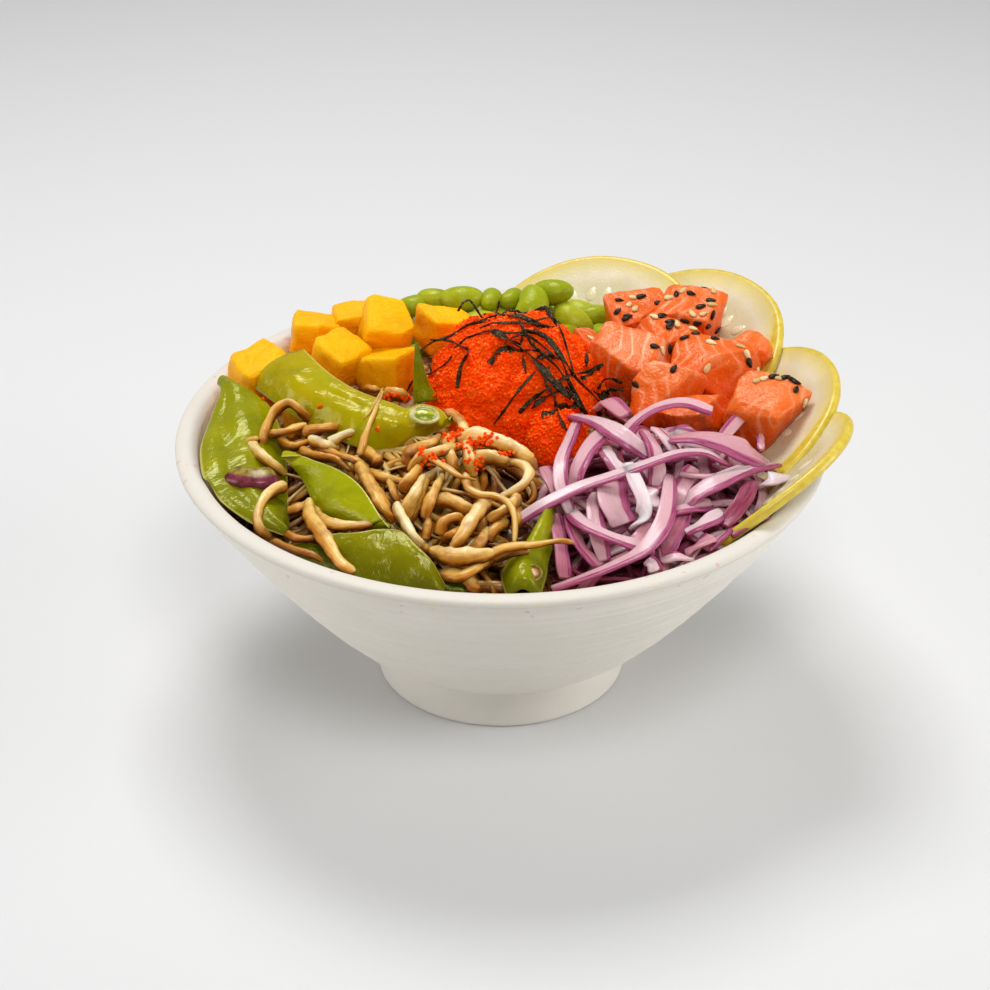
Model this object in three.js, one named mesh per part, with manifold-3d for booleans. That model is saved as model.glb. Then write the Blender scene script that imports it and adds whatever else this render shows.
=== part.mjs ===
// A poke bowl: a white pressed-fibre bowl on a round foot, filled with quinoa and topped with diced mango,
// green soybeans, a mound of orange fish roe under shredded seaweed, diced salmon with sesame, slices of
// yellow squash along the rim, shreds of red onion, and stir-fried bean sprouts with snow peas.
// Millimetres, +Z up. The origin is on the table, under the middle of the foot. +X is right, +Y is the back.
import * as THREE from "three";
import { mergeVertices } from "three/addons/utils/BufferGeometryUtils.js";
import Module from "manifold-3d";

const wasm = await Module();
wasm.setup();

// Driving dimensions of the bowl.
const RIM_RADIUS = 100;
const RIM_TOP = 83.3;
const LIP_HEIGHT = 6;
const LIP_WIDTH = 6.4;
const FOOT_RADIUS = 39.5;
const FOOT_HEIGHT = 14;
const WALL = 3;
const BOWL_SIDES = 32;

// Clear space between pieces that touch.
const GAP = 0.35;

// Typical sizes of the food.
const MANGO_DICE = 15;
const SALMON_DICE = 19;
const SLICE_THICKNESS = 3.4;
const BEAN_LENGTH = 13;
const POD_THICKNESS = 4.6;
const SPROUT_RADIUS = 1.9;
const ONION_WIDTH = 4.4;
const ONION_THICKNESS = 2.4;
const ROE_RADIUS = 28;
const ROE_TOP = 108;
const SEAWEED_WIDTH = 2;
const SEAWEED_THICKNESS = 1.2;
const SESAME_LENGTH = 3.4;

const RAD = Math.PI / 180;

const MATERIALS = {
  fibre: new THREE.MeshStandardMaterial({ color: 0xe9e5df, roughness: 0.7 }),
  quinoa: new THREE.MeshStandardMaterial({ color: 0xd9c79a, roughness: 0.75 }),
  mango: new THREE.MeshStandardMaterial({ color: 0xffb01e, roughness: 0.42 }),
  salmon: new THREE.MeshStandardMaterial({ color: 0xf07a4a, roughness: 0.35 }),
  squash: new THREE.MeshStandardMaterial({ color: 0xe9ddb0, roughness: 0.4 }),
  soybean: new THREE.MeshStandardMaterial({ color: 0x9dac2a, roughness: 0.35 }),
  roe: new THREE.MeshStandardMaterial({ color: 0xf23c05, roughness: 0.25 }),
  pod: new THREE.MeshStandardMaterial({ color: 0x98a012, roughness: 0.3 }),
  sprout: new THREE.MeshStandardMaterial({ color: 0xc2935a, roughness: 0.35 }),
  onion: new THREE.MeshStandardMaterial({ color: 0xc99aa8, roughness: 0.35 }),
};

// Heights

// A low dome about the middle of the bowl with round swellings, each [x, y, height, spread].
function domed(middle, fall, swells) {
  return (x, y) => {
    const bell = ([sx, sy, height, spread]) =>
      height * Math.exp(-((x - sx) ** 2 + (y - sy) ** 2) / (2 * spread ** 2));
    return swells.reduce((z, swell) => z + bell(swell), middle - fall * (x * x + y * y));
  };
}

// The quinoa is heaped higher under the mango, the soybeans and the salmon.
const bedHeight = domed(76, 0.0012, [[-55, 42, 12, 28], [2, 66, 8, 20], [58, 36, 13, 24]]);

// The loose shreds end a little under the rim, and are heaped over the onion and the sprouts.
const shredHeight = domed(84, 0.0008, [[52, -24, 9, 24], [-18, -28, 7, 20], [-62, 4, 6, 18]]);

// Solids

// A seeded random draw between two limits, the same on every run.
function dice(seed) {
  let state = seed;
  return (low, high) => {
    state = (state * 1664525 + 1013904223) % 4294967296;
    return low + ((high - low) * state) / 4294967296;
  };
}

// A closed three.js geometry as a solid that can be joined and cut.
function solidOf(geometry) {
  geometry.deleteAttribute("normal");
  geometry.deleteAttribute("uv");
  const merged = mergeVertices(geometry, 1e-4);
  const corners = merged.index.array;
  const faces = [];
  for (let i = 0; i < corners.length; i += 3) {
    const [a, b, c] = [corners[i], corners[i + 1], corners[i + 2]];
    if (a !== b && b !== c && c !== a) faces.push(a, b, c);
  }
  return new wasm.Manifold(
    new wasm.Mesh({
      numProp: 3,
      vertProperties: merged.attributes.position.array,
      triVerts: new Uint32Array(faces),
    }),
  );
}

// A solid as a three.js geometry.
function geometryOf(solid) {
  const { vertProperties, triVerts } = solid.getMesh();
  const geometry = new THREE.BufferGeometry();
  geometry.setAttribute("position", new THREE.BufferAttribute(vertProperties, 3));
  geometry.setIndex(new THREE.BufferAttribute(triVerts, 1));
  geometry.computeVertexNormals();
  return geometry;
}

// The largest body of a solid, without the scraps that a cut leaves.
function largest(solid) {
  return solid.decompose().reduce((best, body) => (body.volume() > best.volume() ? body : best));
}

// Moves every vertex of a geometry by a rule.
function shaped(geometry, rule) {
  const position = geometry.attributes.position;
  for (let i = 0; i < position.count; i++) {
    const moved = rule(new THREE.Vector3().fromBufferAttribute(position, i));
    position.setXYZ(i, moved.x, moved.y, moved.z);
  }
  return geometry;
}

// A profile of [radius, height] turned about the upright axis.
function turned(profile, sides) {
  const points = profile.map(([radius, height]) => new THREE.Vector2(radius, height));
  return new THREE.LatheGeometry(points, sides).rotateX(Math.PI / 2);
}

// A parabola that meets the middle one of three points half way.
function bent(start, middle, end) {
  const [a, m, c] = [start, middle, end].map((point) => new THREE.Vector3(...point));
  const pull = m.multiplyScalar(2).addScaledVector(a, -0.5).addScaledVector(c, -0.5);
  return (u) =>
    new THREE.Vector3()
      .addScaledVector(a, (1 - u) ** 2)
      .addScaledVector(pull, 2 * u * (1 - u))
      .addScaledVector(c, u ** 2);
}

// A path over a surface: the third number of each point is its height above that surface.
function over(surface, start, middle, end) {
  const plan = bent(start, middle, end);
  return (u) => {
    const point = plan(u);
    point.z += surface(point.x, point.y);
    return point;
  };
}

// Lays a geometry whose Y runs from -0.5 to 0.5 along a path, with its X across and its Z through the
// piece. roll turns it about the path, slant sets its two ends aslant, and more swells it on every side.
function laidAlong(geometry, path, halfWidth, halfThickness, more, roll = 0, slant = 0) {
  const up = new THREE.Vector3(0, 0, 1);
  const [c, s] = [Math.cos(roll * RAD), Math.sin(roll * RAD)];
  const stretch = 1 + (2 * more) / path(0).distanceTo(path(1));
  return shaped(geometry, (vertex) => {
    const u = vertex.y * stretch + 0.5 + slant * vertex.x;
    const tangent = path(u + 0.01).sub(path(u - 0.01)).normalize();
    const side = tangent.clone().cross(up).normalize();
    const over = side.clone().cross(tangent);
    const across = side.clone().multiplyScalar(c).addScaledVector(over, s);
    const through = over.multiplyScalar(c).addScaledVector(side, -s);
    return path(u)
      .addScaledVector(across, vertex.x * (halfWidth(u) + more))
      .addScaledVector(through, vertex.z * (halfThickness(u) + more));
  });
}

// A body heaped over an oval of the quinoa, up to a height that a rule gives, with a flat underside.
const HEAP_SINK = 2.5;
function heaped([x, y, a, b], top, fullness, [around, rings], more) {
  const quarter = [...Array(rings + 1)].map((_, k) => (k / rings) * (Math.PI / 2));
  const profile = [[0, -1], [0.97, -1], ...quarter.map((angle) => [Math.cos(angle), Math.sin(angle)])];
  return solidOf(
    shaped(turned(profile, around), (vertex) => {
      const [px, py] = [x + a * vertex.x, y + b * vertex.y];
      const share = Math.abs(vertex.z) ** fullness;
      const foot = bedHeight(px, py) - 1;
      const rise = (top(px, py) + more - foot) * share;
      const drop = (HEAP_SINK + more) * share;
      const height = vertex.z > 0 ? foot + rise : foot - drop;
      return new THREE.Vector3(px + more * vertex.x, py + more * vertex.y, height);
    }),
  );
}

// Bowl

// Radius of the outer wall at a height: it swells out quickly above the foot and runs on to the lip.
const WALL_FOOT = FOOT_HEIGHT + 2.2;
const WALL_TOP = RIM_TOP - LIP_HEIGHT - 1.6;
function wallRadius(z) {
  const start = FOOT_RADIUS + 4.5;
  const end = RIM_RADIUS - 4.8;
  return start + (end - start) * ((z - WALL_FOOT) / (WALL_TOP - WALL_FOOT)) ** 0.8;
}

// The inside of the bowl as [radius, height], from the middle of its floor up to the lip.
const INSIDE = [
  [0, 2.4],
  [FOOT_RADIUS - 5, 2.4],
  [FOOT_RADIUS - 2, 6],
  [FOOT_RADIUS - 1.4, FOOT_HEIGHT + 0.6],
  ...[22, 42, WALL_TOP - 3].map((z) => [wallRadius(z) - WALL, z]),
  [RIM_RADIUS - LIP_WIDTH, RIM_TOP - 3],
];
function insideRadius(z) {
  const k = INSIDE.findIndex(([, height]) => height > z);
  const [[r0, z0], [r1, z1]] = [INSIDE[k - 1], INSIDE[k]];
  return r0 + ((r1 - r0) * (z - z0)) / (z1 - z0);
}

// The whole bowl, whose foot is formed in its wall. more swells it on every side.
function bowl(more) {
  const lip = [
    [RIM_RADIUS - 1.2, RIM_TOP - LIP_HEIGHT],
    [RIM_RADIUS, RIM_TOP - LIP_HEIGHT + 2],
    [RIM_RADIUS, RIM_TOP - 2],
    [RIM_RADIUS - 1.6, RIM_TOP - 0.2],
    [RIM_RADIUS - 4, RIM_TOP],
    [RIM_RADIUS - 5.8, RIM_TOP - 1],
  ];
  const outside = [
    [FOOT_RADIUS - 1.2, 0],
    [FOOT_RADIUS, 1.2],
    [FOOT_RADIUS + 1, FOOT_HEIGHT],
    ...[WALL_FOOT, 25, 44, WALL_TOP].map((z) => [wallRadius(z), z]),
    ...lip.slice(0, 3),
  ];
  const inside = [...INSIDE].reverse();
  const profile = [
    [0, -more],
    ...outside.map(([r, z]) => [r + more, z - (z < RIM_TOP - LIP_HEIGHT + 1 ? more : 0)]),
    ...lip.slice(3, 5).map(([r, z]) => [r + more * 0.5, z + more]),
    ...lip.slice(5).map(([r, z]) => [r - more, z + more]),
    ...inside.map(([r, z]) => [Math.max(0, r - more), z + (z < FOOT_HEIGHT ? more : 0)]),
  ];
  return solidOf(turned(profile, BOWL_SIDES));
}

// Quinoa

// The cooked grain as one body: it fills the bowl up to bedHeight.
function quinoa() {
  const rings = [0.85, 0.5, 0];
  const wall = INSIDE.slice(0, -2).map(([r, z]) => [Math.max(0, r - GAP), z + (z < FOOT_HEIGHT ? GAP : 0)]);
  const profile = [...wall, [1, RIM_TOP], ...rings.map((share) => [share, RIM_TOP])];
  return solidOf(
    shaped(turned(profile, BOWL_SIDES), (vertex) => {
      if (vertex.z < RIM_TOP - 1) return vertex;
      const share = Math.hypot(vertex.x, vertex.y);
      const [dx, dy] = share > 0 ? [vertex.x / share, vertex.y / share] : [0, 0];
      let edge = 85;
      for (let step = 0; step < 8; step++) edge = insideRadius(bedHeight(edge * dx, edge * dy)) - GAP;
      const [x, y] = [edge * share * dx, edge * share * dy];
      return new THREE.Vector3(x, y, bedHeight(x, y));
    }),
  );
}

// Diced pieces

// A rule for a hand-cut dice: a cube with rounded edges, whose eight corners are each a little out of
// place. The row holds its middle, its size along x, y and z, and its yaw and two tilts in degrees.
const DICE_ROUNDNESS = 6;
function diceRule([x, y, z, width, depth, height, yaw, tiltX, tiltY], ragged, seed, more) {
  const draw = dice(seed);
  const corners = [...Array(8)].map(() => new THREE.Vector3(draw(-1, 1), draw(-1, 1), draw(-1, 1)));
  const half = new THREE.Vector3(width, depth, height).multiplyScalar(0.5).addScalar(more);
  const turn = new THREE.Euler(tiltX * RAD, tiltY * RAD, yaw * RAD, "ZYX");
  const place = new THREE.Matrix4().makeRotationFromEuler(turn).setPosition(x, y, z);
  return ({ x: a, y: b, z: c }) => {
    const norm = [a, b, c].reduce((sum, t) => sum + Math.abs(t) ** DICE_ROUNDNESS, 0) ** (1 / DICE_ROUNDNESS);
    const moved = new THREE.Vector3(a, b, c).divideScalar(norm).multiply(half);
    corners.forEach((offset, k) => {
      const share = [a, b, c].reduce((part, t, axis) => part * (k & (1 << axis) ? 1 + t : 1 - t), 1 / 8);
      moved.addScaledVector(offset, share * ragged);
    });
    return moved.applyMatrix4(place);
  };
}

function diced(row, ragged, seed, more) {
  return solidOf(shaped(new THREE.BoxGeometry(2, 2, 2, 3, 3, 3), diceRule(row, ragged, seed, more)));
}

const M = MANGO_DICE;
const MANGO = [
  [-77, 32, 86, M * 1.15, M * 1.05, M * 1.2, 40, 8, -6],
  [-61, 53, 88, M, M, M * 1.1, 18, -6, 6],
  [-47, 63, 89, M * 0.9, M, M, 8, 4, -8],
  [-52, 35, 90, M * 1.15, M, M * 1.05, 52, 16, 10],
  [-38, 49, 92.5, M, M, M * 1.3, 12, 20, 10],
  [-19, 58, 89, M, M * 0.8, M * 0.95, 30, 6, 14],
  [-37, 33, 86, M, M, M, 62, -10, 8],
  [-61, 15, 83, M, M, M * 0.9, 25, 5, -5],
];
const MANGO_RAGGED = 1.5;

// Salmon rows end with the number of sesame seeds on top.
const S = SALMON_DICE;
const SALMON = [
  [41, 58, 93, S * 1.05, S * 0.85, S * 0.85, 12, 12, -8, 2],
  [61, 53, 96, S * 1.1, S * 0.85, S, -20, 14, 12, 3],
  [51, 43, 93, S, S * 0.7, S * 0.75, 10, 24, 6, 1],
  [39, 31, 90, S * 1.25, S * 0.85, S * 0.85, -22, 22, 8, 1],
  [24, 48, 88, S * 0.6, S * 0.55, S * 0.8, 30, 10, 14, 0],
  [67, 26, 91, S * 1.25, S * 0.9, S * 0.9, -18, 20, 4, 3],
  [80, 37, 89, S * 0.7, S * 0.6, S * 0.85, -40, 8, 18, 1],
  [83, 2, 88, S * 0.95, S * 0.85, S * 1.25, -30, 10, 20, 3],
  [50, 13, 88, S * 0.75, S * 0.6, S * 1.1, 10, -8, 12, 0],
  [60, 4, 83, S * 1.05, S * 0.75, S * 0.8, -12, 14, -6, 0],
];
const SALMON_RAGGED = 2;

// A flat drop of a seed, laid on the upper face of a dice.
function sesame(rule, draw, more) {
  const [a, b] = [draw(-0.6, 0.6), draw(-0.6, 0.6)];
  const turn = draw(0, Math.PI);
  const [c, s] = [Math.cos(turn), Math.sin(turn)];
  const middle = rule(new THREE.Vector3(a, b, 1));
  const across = rule(new THREE.Vector3(a + 0.1, b, 1)).sub(middle).normalize();
  const out = across.clone().cross(rule(new THREE.Vector3(a, b + 0.1, 1)).sub(middle)).normalize();
  const along = out.clone().cross(across);
  const half = SESAME_LENGTH / 2 + more;
  return solidOf(
    shaped(new THREE.SphereGeometry(half, 5, 3), (vertex) => {
      const length = vertex.y;
      const width = vertex.x * (0.6 - 0.12 * vertex.y);
      return middle
        .clone()
        .addScaledVector(across, width * c - length * s)
        .addScaledVector(along, width * s + length * c)
        .addScaledVector(out, vertex.z * 0.45 + half * 0.15);
    }),
  );
}

function salmon(row, seed, more) {
  const draw = dice(seed * 7 + 1);
  const rule = diceRule(row, SALMON_RAGGED, seed, more);
  const seeds = [...Array(row[9])].map(() => sesame(rule, draw, more));
  return seeds.reduce((piece, seed) => piece.add(seed), diced(row, SALMON_RAGGED, seed, more));
}

// Squash

// A round slice that leans outward on the rim. The row holds its middle, the way it faces in degrees from
// the back, its lean from upright, how far its two ends bow inward, and its radius.
const SLICES = [
  [29, 64, 76.6, 34, 54, 3.8, 39],
  [56.6, 52, 77.7, 56, 54, 4.4, 40],
  [74.3, 9.3, 74.8, 83, 51, 2, 38.2],
  [77.4, -25.7, 73, 112, 43, 4.6, 37.7],
];
function slice([x, y, z, facing, lean, bow, radius], more) {
  const face = SLICE_THICKNESS / 2 + more;
  const edge = radius + more;
  const profile = [[0, -face], [edge - 0.8, -face], [edge, 0], [edge - 0.8, face], [0, face]];
  const [ca, sa, cl, sl] = [facing, lean].flatMap((angle) => [Math.cos(angle * RAD), Math.sin(angle * RAD)]);
  const level = new THREE.Vector3(ca, -sa, 0);
  const uphill = new THREE.Vector3(sa * sl, ca * sl, cl);
  const inward = new THREE.Vector3(-sa * cl, -ca * cl, sl);
  return solidOf(
    shaped(turned(profile, 24), (vertex) =>
      new THREE.Vector3(x, y, z)
        .addScaledVector(level, vertex.x)
        .addScaledVector(uphill, vertex.y)
        .addScaledVector(inward, vertex.z + bow * (vertex.x / radius) ** 2),
    ),
  );
}

// Snow peas

// Pods and cut lengths of pod: three points of the middle line, half the width, the thickness as a share
// of the usual one, roll, whether each end is a tip (1) or cut (0), and the slant of the ends.
const PODS = [
  [[-90, 24, 88], [-81, -12, 83], [-66, -52, 78], 13, 1, 18, 1, 0.6, 0],
  [[-72, 27, 92], [-49, 8, 93.5], [-22, -7, 92], 9.7, 1, -34, 0, 0.2, 0.1],
  [[-67, -22, 86], [-50, -42, 87], [-32, -61, 84], 8.6, 0.9, -28, 0.5, 0, 0.2],
  [[-50, -60, 81], [-35, -70, 82.5], [-18, -80, 80], 9, 0.9, -24, 0, 0, 0.16],
  [[-65, -52, 76], [-54, -63, 76], [-44, -72, 74], 7, 0.8, -12, 0, 0, 0.1],
  [[-23, 13, 84], [-26, 15, 94], [-28, 18, 104], 3.4, 0.8, 70, 0.6, 0.5, 0],
  [[15, -46, 84], [8, -64, 81], [0, -80, 77], 6, 2, 20, 0, 1, 0],
  [[-24, -80, 75], [-15, -80, 76], [-7, -81, 75], 3, 0.9, 30, 0.4, 1, 0],
];
function pod([start, middle, end, halfWidth, thick, roll, tipA, tipB, slant], more) {
  const rounded = (share) => Math.sqrt(1 - (1 - Math.min(1, Math.max(0, share / 0.3))) ** 2);
  const outline = (u) => Math.max(0.15, (1 - tipA * (1 - rounded(u))) * (1 - tipB * (1 - rounded(1 - u))));
  const peas = (u) => 0.88 + 0.12 * Math.cos(2 * Math.PI * 4 * u);
  return solidOf(
    laidAlong(
      new THREE.CylinderGeometry(1, 1, 1, 6, 7),
      bent(start, middle, end),
      (u) => halfWidth * outline(u),
      (u) => (POD_THICKNESS / 2) * thick * peas(u) * outline(u),
      more,
      roll,
      slant,
    ),
  );
}

// A short curved wedge of onion at the left edge.
function onionWedge(more) {
  const path = bent([-81, -28, 84], [-74, -33, 85.5], [-67, -31, 85]);
  const geometry = new THREE.CylinderGeometry(1, 1, 1, 6, 4);
  return solidOf(laidAlong(geometry, path, () => 3.6, () => 2.2, more, -20));
}

// Roe and seaweed

const ROE = [4, 27, ROE_RADIUS, ROE_RADIUS];
const ROE_FULLNESS = 0.8;
const ROE_CLUMP = [17, -5, 84, 9];

// Height of the mound of roe at a place.
function roeHeight(x, y) {
  const share = Math.min(1, Math.hypot(x - ROE[0], y - ROE[1]) / ROE_RADIUS);
  const foot = bedHeight(x, y) - 1;
  return foot + (ROE_TOP - foot) * (1 - share ** 2) ** (ROE_FULLNESS / 2);
}

// The grains are too fine to count out, so the mound has bumps of about their size.
function roe(more) {
  const bumps = (x, y) => ROE_TOP + 0.7 * Math.sin(2.1 * x) * Math.sin(1.7 * y + x);
  const [x, y, z, radius] = ROE_CLUMP;
  const clump = new THREE.SphereGeometry(radius + more, 8, 6).translate(x, y, z);
  return heaped(ROE, bumps, ROE_FULLNESS, [24, 7], more).add(solidOf(clump));
}

// Strips of seaweed over the mound: start, middle and end seen from above.
const SEAWEED = [
  [[-20, 31], [-10, 38], [3, 38]],
  [[-14, 28], [-16, 19], [-13, 9]],
  [[1, 40], [12, 31], [19, 13]],
  [[3, 35], [15, 27], [22, 11]],
  [[5, 20], [13, 18], [24, 18]],
  [[22, 30], [22, 18], [17, 7]],
];
function seaweed(more) {
  const lift = SEAWEED_THICKNESS * 1.5;
  return SEAWEED.map(([start, middle, end]) =>
    solidOf(
      laidAlong(
        new THREE.BoxGeometry(2, 1, 2, 1, 3, 1),
        over(roeHeight, [...start, -lift / 2], [...middle, lift], [...end, -lift / 2]),
        () => SEAWEED_WIDTH / 2,
        () => SEAWEED_THICKNESS / 2,
        more,
      ),
    ),
  );
}

// Soybeans

// Beans that show: middle, heading and tilt in degrees, and the size as a share of the usual one.
const BEANS = [
  [-29, 72, 90, 20, 5, 0.9],
  [-22, 75, 91, -10, 0, 0.9],
  [-13, 72, 93, 5, 0, 1.15],
  [-4, 73, 92, 80, 0, 0.85],
  [3, 75, 92, 60, 0, 0.8],
  [10, 67, 95, 20, 30, 1.25],
  [17, 76, 95, -20, 10, 1.1],
  [24, 68, 89, -40, -20, 1.2],
  [31, 73, 88, 10, 0, 0.95],
  [34, 64, 85, -60, 0, 0.9],
  [20, 60, 87, 20, 0, 0.95],
  [-11, 62, 91, 10, 0, 1],
  [-20, 82, 86, -15, -10, 1],
  [13, 84, 88, 5, -15, 1.05],
  [27, 80, 86, -20, -10, 1],
  [-35, 78, 85, 15, -5, 0.9],
];
function bean([x, y, z, heading, tilt, share], more) {
  const half = (BEAN_LENGTH * share) / 2 + more;
  const oval = new THREE.SphereGeometry(half, 6, 4).rotateZ(Math.PI / 2).scale(1, 0.68, 0.58);
  return solidOf(oval.rotateY(-tilt * RAD).rotateZ(heading * RAD).translate(x, y, z));
}

function soybeans(more) {
  const top = (x, y) => 92 - 0.009 * (x - 2) ** 2 - 0.03 * Math.max(0, y - 72) ** 2;
  const core = heaped([-1, 70, 34, 18], top, 0.6, [12, 3], more);
  return BEANS.reduce((heap, row) => heap.add(bean(row, more)), core);
}

// Shreds

// Rows of shreds that show best: start, middle and end, each with its height above the heap.
const SPROUTS = [
  [[-80, -24, -2], [-76, 2, 6], [-60, -9, -2]],
  [[-64, -33, -2], [-70, -46, 3], [-66, -55, -2]],
  [[-57, -43, -2], [-49, -63, 3], [-41, -75, -2]],
  [[-27, -29, -2], [-18, -22, 4], [0, -22, -2]],
  [[-6, -23, -2], [11, -33, 4], [0, -49, -2]],
  [[-22, -38, -2], [-2, -52, 5], [5, -72, -2]],
  [[-14, -71, -2], [-6, -54, 3], [-2, -46, -2]],
  [[-20, -70, -2], [-4, -75, 4], [20, -70, 2]],
  [[-30, -52, -2], [-28, -60, 3], [-20, -73, -2]],
  [[-42, -31, -2], [-39, -14, 6], [-37, 6, 8]],
  [[-26, -56, -2], [-24, -45, 3], [-19, -36, -2]],
  [[-20, -61, -2], [-18, -49, 3], [-16, -39, -2]],
];
const ONIONS = [
  [[5, -61, -2], [40, -41, 6], [72, -39, -2]],
  [[36, -41, -2], [40, -51, 5], [45, -65, -2]],
  [[35, -26, -2], [48, -6, 7], [64, 0, 5]],
  [[53, -23, -2], [72, -14, 4], [86, -31, -2]],
  [[76, 6, 8], [74, -6, 7], [66, -24, -2]],
  [[24, -7, -2], [18, -35, 3], [20, -57, -2]],
  [[17, -79, -2], [34, -71, 3], [47, -60, -2]],
  [[23, -49, -2], [28, -61, 3], [42, -69, -2]],
  [[55, -52, -2], [68, -37, 3], [81, -25, -2]],
  [[23, -7, -2], [33, -19, 5], [44, -34, -2]],
];

// More shreds at random in an oval, each a shallow arch that starts and ends in the heap.
function strewn([x, y, a, b], count, length, seed) {
  const draw = dice(seed);
  return [...Array(count)].map(() => {
    const [angle, reach] = [draw(0, 2 * Math.PI), Math.sqrt(draw(0, 0.7))];
    const [mx, my] = [x + a * reach * Math.cos(angle), y + b * reach * Math.sin(angle)];
    const heading = draw(0, Math.PI);
    const bend = draw(-0.3, 0.3) * length;
    const [dx, dy] = [(Math.cos(heading) * length) / 2, (Math.sin(heading) * length) / 2];
    const [sx, sy] = [-Math.sin(heading) * bend, Math.cos(heading) * bend];
    return [[mx - dx + sx, my - dy + sy, -2], [mx, my, draw(3, 5)], [mx + dx + sx, my + dy + sy, -2]];
  });
}

// A heap of shreds: a core under its surface with every shred fused on.
const CORE_DEPTH = 1;
function shredHeap(oval, rows, geometry, halfWidth, halfThickness, roll, more) {
  const core = heaped(oval, (x, y) => shredHeight(x, y) - CORE_DEPTH, 0.35, [12, 3], more);
  return rows.reduce((heap, row, k) => {
    const path = over(shredHeight, ...row);
    const width = (u) => halfWidth * (1 - 0.35 * (2 * u - 1) ** 4);
    return heap.add(solidOf(laidAlong(geometry(), path, width, () => halfThickness, more, roll(k))));
  }, core);
}

function sprouts(more) {
  const rows = [...SPROUTS, ...strewn([-34, -30, 42, 44], 3, 26, 5)];
  const rod = () => new THREE.CylinderGeometry(1, 1, 1, 4, 4);
  return shredHeap([-40, -34, 49, 50], rows, rod, SPROUT_RADIUS, SPROUT_RADIUS, () => 0, more);
}

function onions(more) {
  const rows = [...ONIONS, ...strewn([50, -34, 34, 40], 4, 32, 9)];
  const strip = () => new THREE.BoxGeometry(2, 1, 2, 1, 4, 1);
  const roll = (k) => 25 * Math.sin(2 * k);
  return shredHeap([50, -40, 38, 46], rows, strip, ONION_WIDTH / 2, ONION_THICKNESS / 2, roll, more);
}

// Assembly

// A numbered row of like pieces.
function series(name, material, rows, make) {
  return rows.map((row, k) => ({ name: `${name}_${k + 1}`, material, make: (more) => make(row, more, k) }));
}

// Every piece, in the order in which they keep their form: each is cut back from those before it.
const PIECES = [
  { name: "bowl", material: "fibre", make: bowl },
  ...series("squash_slice", "squash", SLICES, slice),
  ...series("mango", "mango", MANGO, (row, more, k) => diced(row, MANGO_RAGGED, 11 + k, more)),
  ...series("salmon", "salmon", SALMON, (row, more, k) => salmon(row, 31 + k, more)),
  ...series("snow_pea", "pod", PODS, pod),
  { name: "onion_wedge", material: "onion", make: onionWedge },
  { name: "roe_mound", material: "roe", make: (more) => seaweed(more).reduce((a, b) => a.add(b), roe(more)) },
  { name: "soybean_heap", material: "soybean", make: soybeans },
  { name: "red_onion_heap", material: "onion", make: onions },
  { name: "bean_sprout_heap", material: "sprout", make: sprouts },
];

const model = new THREE.Group();
const rooms = [];
for (const { name, material, make } of PIECES) {
  const whole = rooms.reduce((piece, room) => piece.subtract(room), make(0));
  const mesh = new THREE.Mesh(geometryOf(largest(whole)), MATERIALS[material]);
  mesh.name = name;
  model.add(mesh);
  rooms.push(make(GAP));
}

// The quinoa lies in the bowl and leaves room for everything else.
const bed = rooms.slice(1).reduce((piece, room) => piece.subtract(room), quinoa());
const bedMesh = new THREE.Mesh(geometryOf(largest(bed)), MATERIALS.quinoa);
bedMesh.name = "quinoa_bed";
model.add(bedMesh);

export default model;
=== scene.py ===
import math

import bpy
import numpy as np
from mathutils.bvhtree import BVHTree
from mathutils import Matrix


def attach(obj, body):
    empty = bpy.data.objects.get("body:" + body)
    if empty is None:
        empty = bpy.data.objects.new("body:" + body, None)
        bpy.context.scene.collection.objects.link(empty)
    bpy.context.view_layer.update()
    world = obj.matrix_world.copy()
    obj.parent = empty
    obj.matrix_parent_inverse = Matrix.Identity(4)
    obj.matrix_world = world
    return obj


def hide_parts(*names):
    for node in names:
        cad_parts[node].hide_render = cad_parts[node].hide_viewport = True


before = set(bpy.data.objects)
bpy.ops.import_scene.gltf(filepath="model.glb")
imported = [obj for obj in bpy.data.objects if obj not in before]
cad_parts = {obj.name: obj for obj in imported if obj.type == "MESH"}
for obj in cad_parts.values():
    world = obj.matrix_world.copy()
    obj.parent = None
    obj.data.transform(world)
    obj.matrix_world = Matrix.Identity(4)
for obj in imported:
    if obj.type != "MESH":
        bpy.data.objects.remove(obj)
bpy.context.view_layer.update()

# Viewpoint, light and table
#
# The bowl is seen from 31 degrees above the table through a long lens, 0.8 m away. Wide soft lights hang over
# its back and its front, weaker ones stand at the left and right, and the table and the room are pale.
MM = 0.001
PHOTO_SIDE = 990
SENSOR = 36
ELEVATION = math.radians(30.785)
EYE_DISTANCE = 800
AIM_HEIGHT = 50
FOCAL_PIXELS = 2538.6
PHOTO_CENTRE = (501.1, 525.1)
HEIGHTS_TRIED = np.arange(130, 40, -0.2)
LIGHTS_AIM = (0, 0, 0.06)
TABLE_REACH = 3

ahead = np.array([0, math.cos(ELEVATION), -math.sin(ELEVATION)])
right = np.array([1.0, 0, 0])
above = np.cross(right, ahead)
eye = np.array([0, 0, AIM_HEIGHT]) - EYE_DISTANCE * ahead

camera = bpy.data.objects.new("camera", bpy.data.cameras.new("camera"))
camera.data.sensor_width = SENSOR
camera.data.lens = SENSOR * FOCAL_PIXELS / PHOTO_SIDE
camera.data.shift_x = (PHOTO_SIDE / 2 - PHOTO_CENTRE[0]) / PHOTO_SIDE
camera.data.shift_y = (PHOTO_CENTRE[1] - PHOTO_SIDE / 2) / PHOTO_SIDE
camera.location = eye * MM
camera.rotation_euler = (math.pi / 2 - ELEVATION, 0, 0)
bpy.context.collection.objects.link(camera)
bpy.context.scene.camera = camera
bpy.context.scene.view_settings.view_transform = "Standard"


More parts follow.
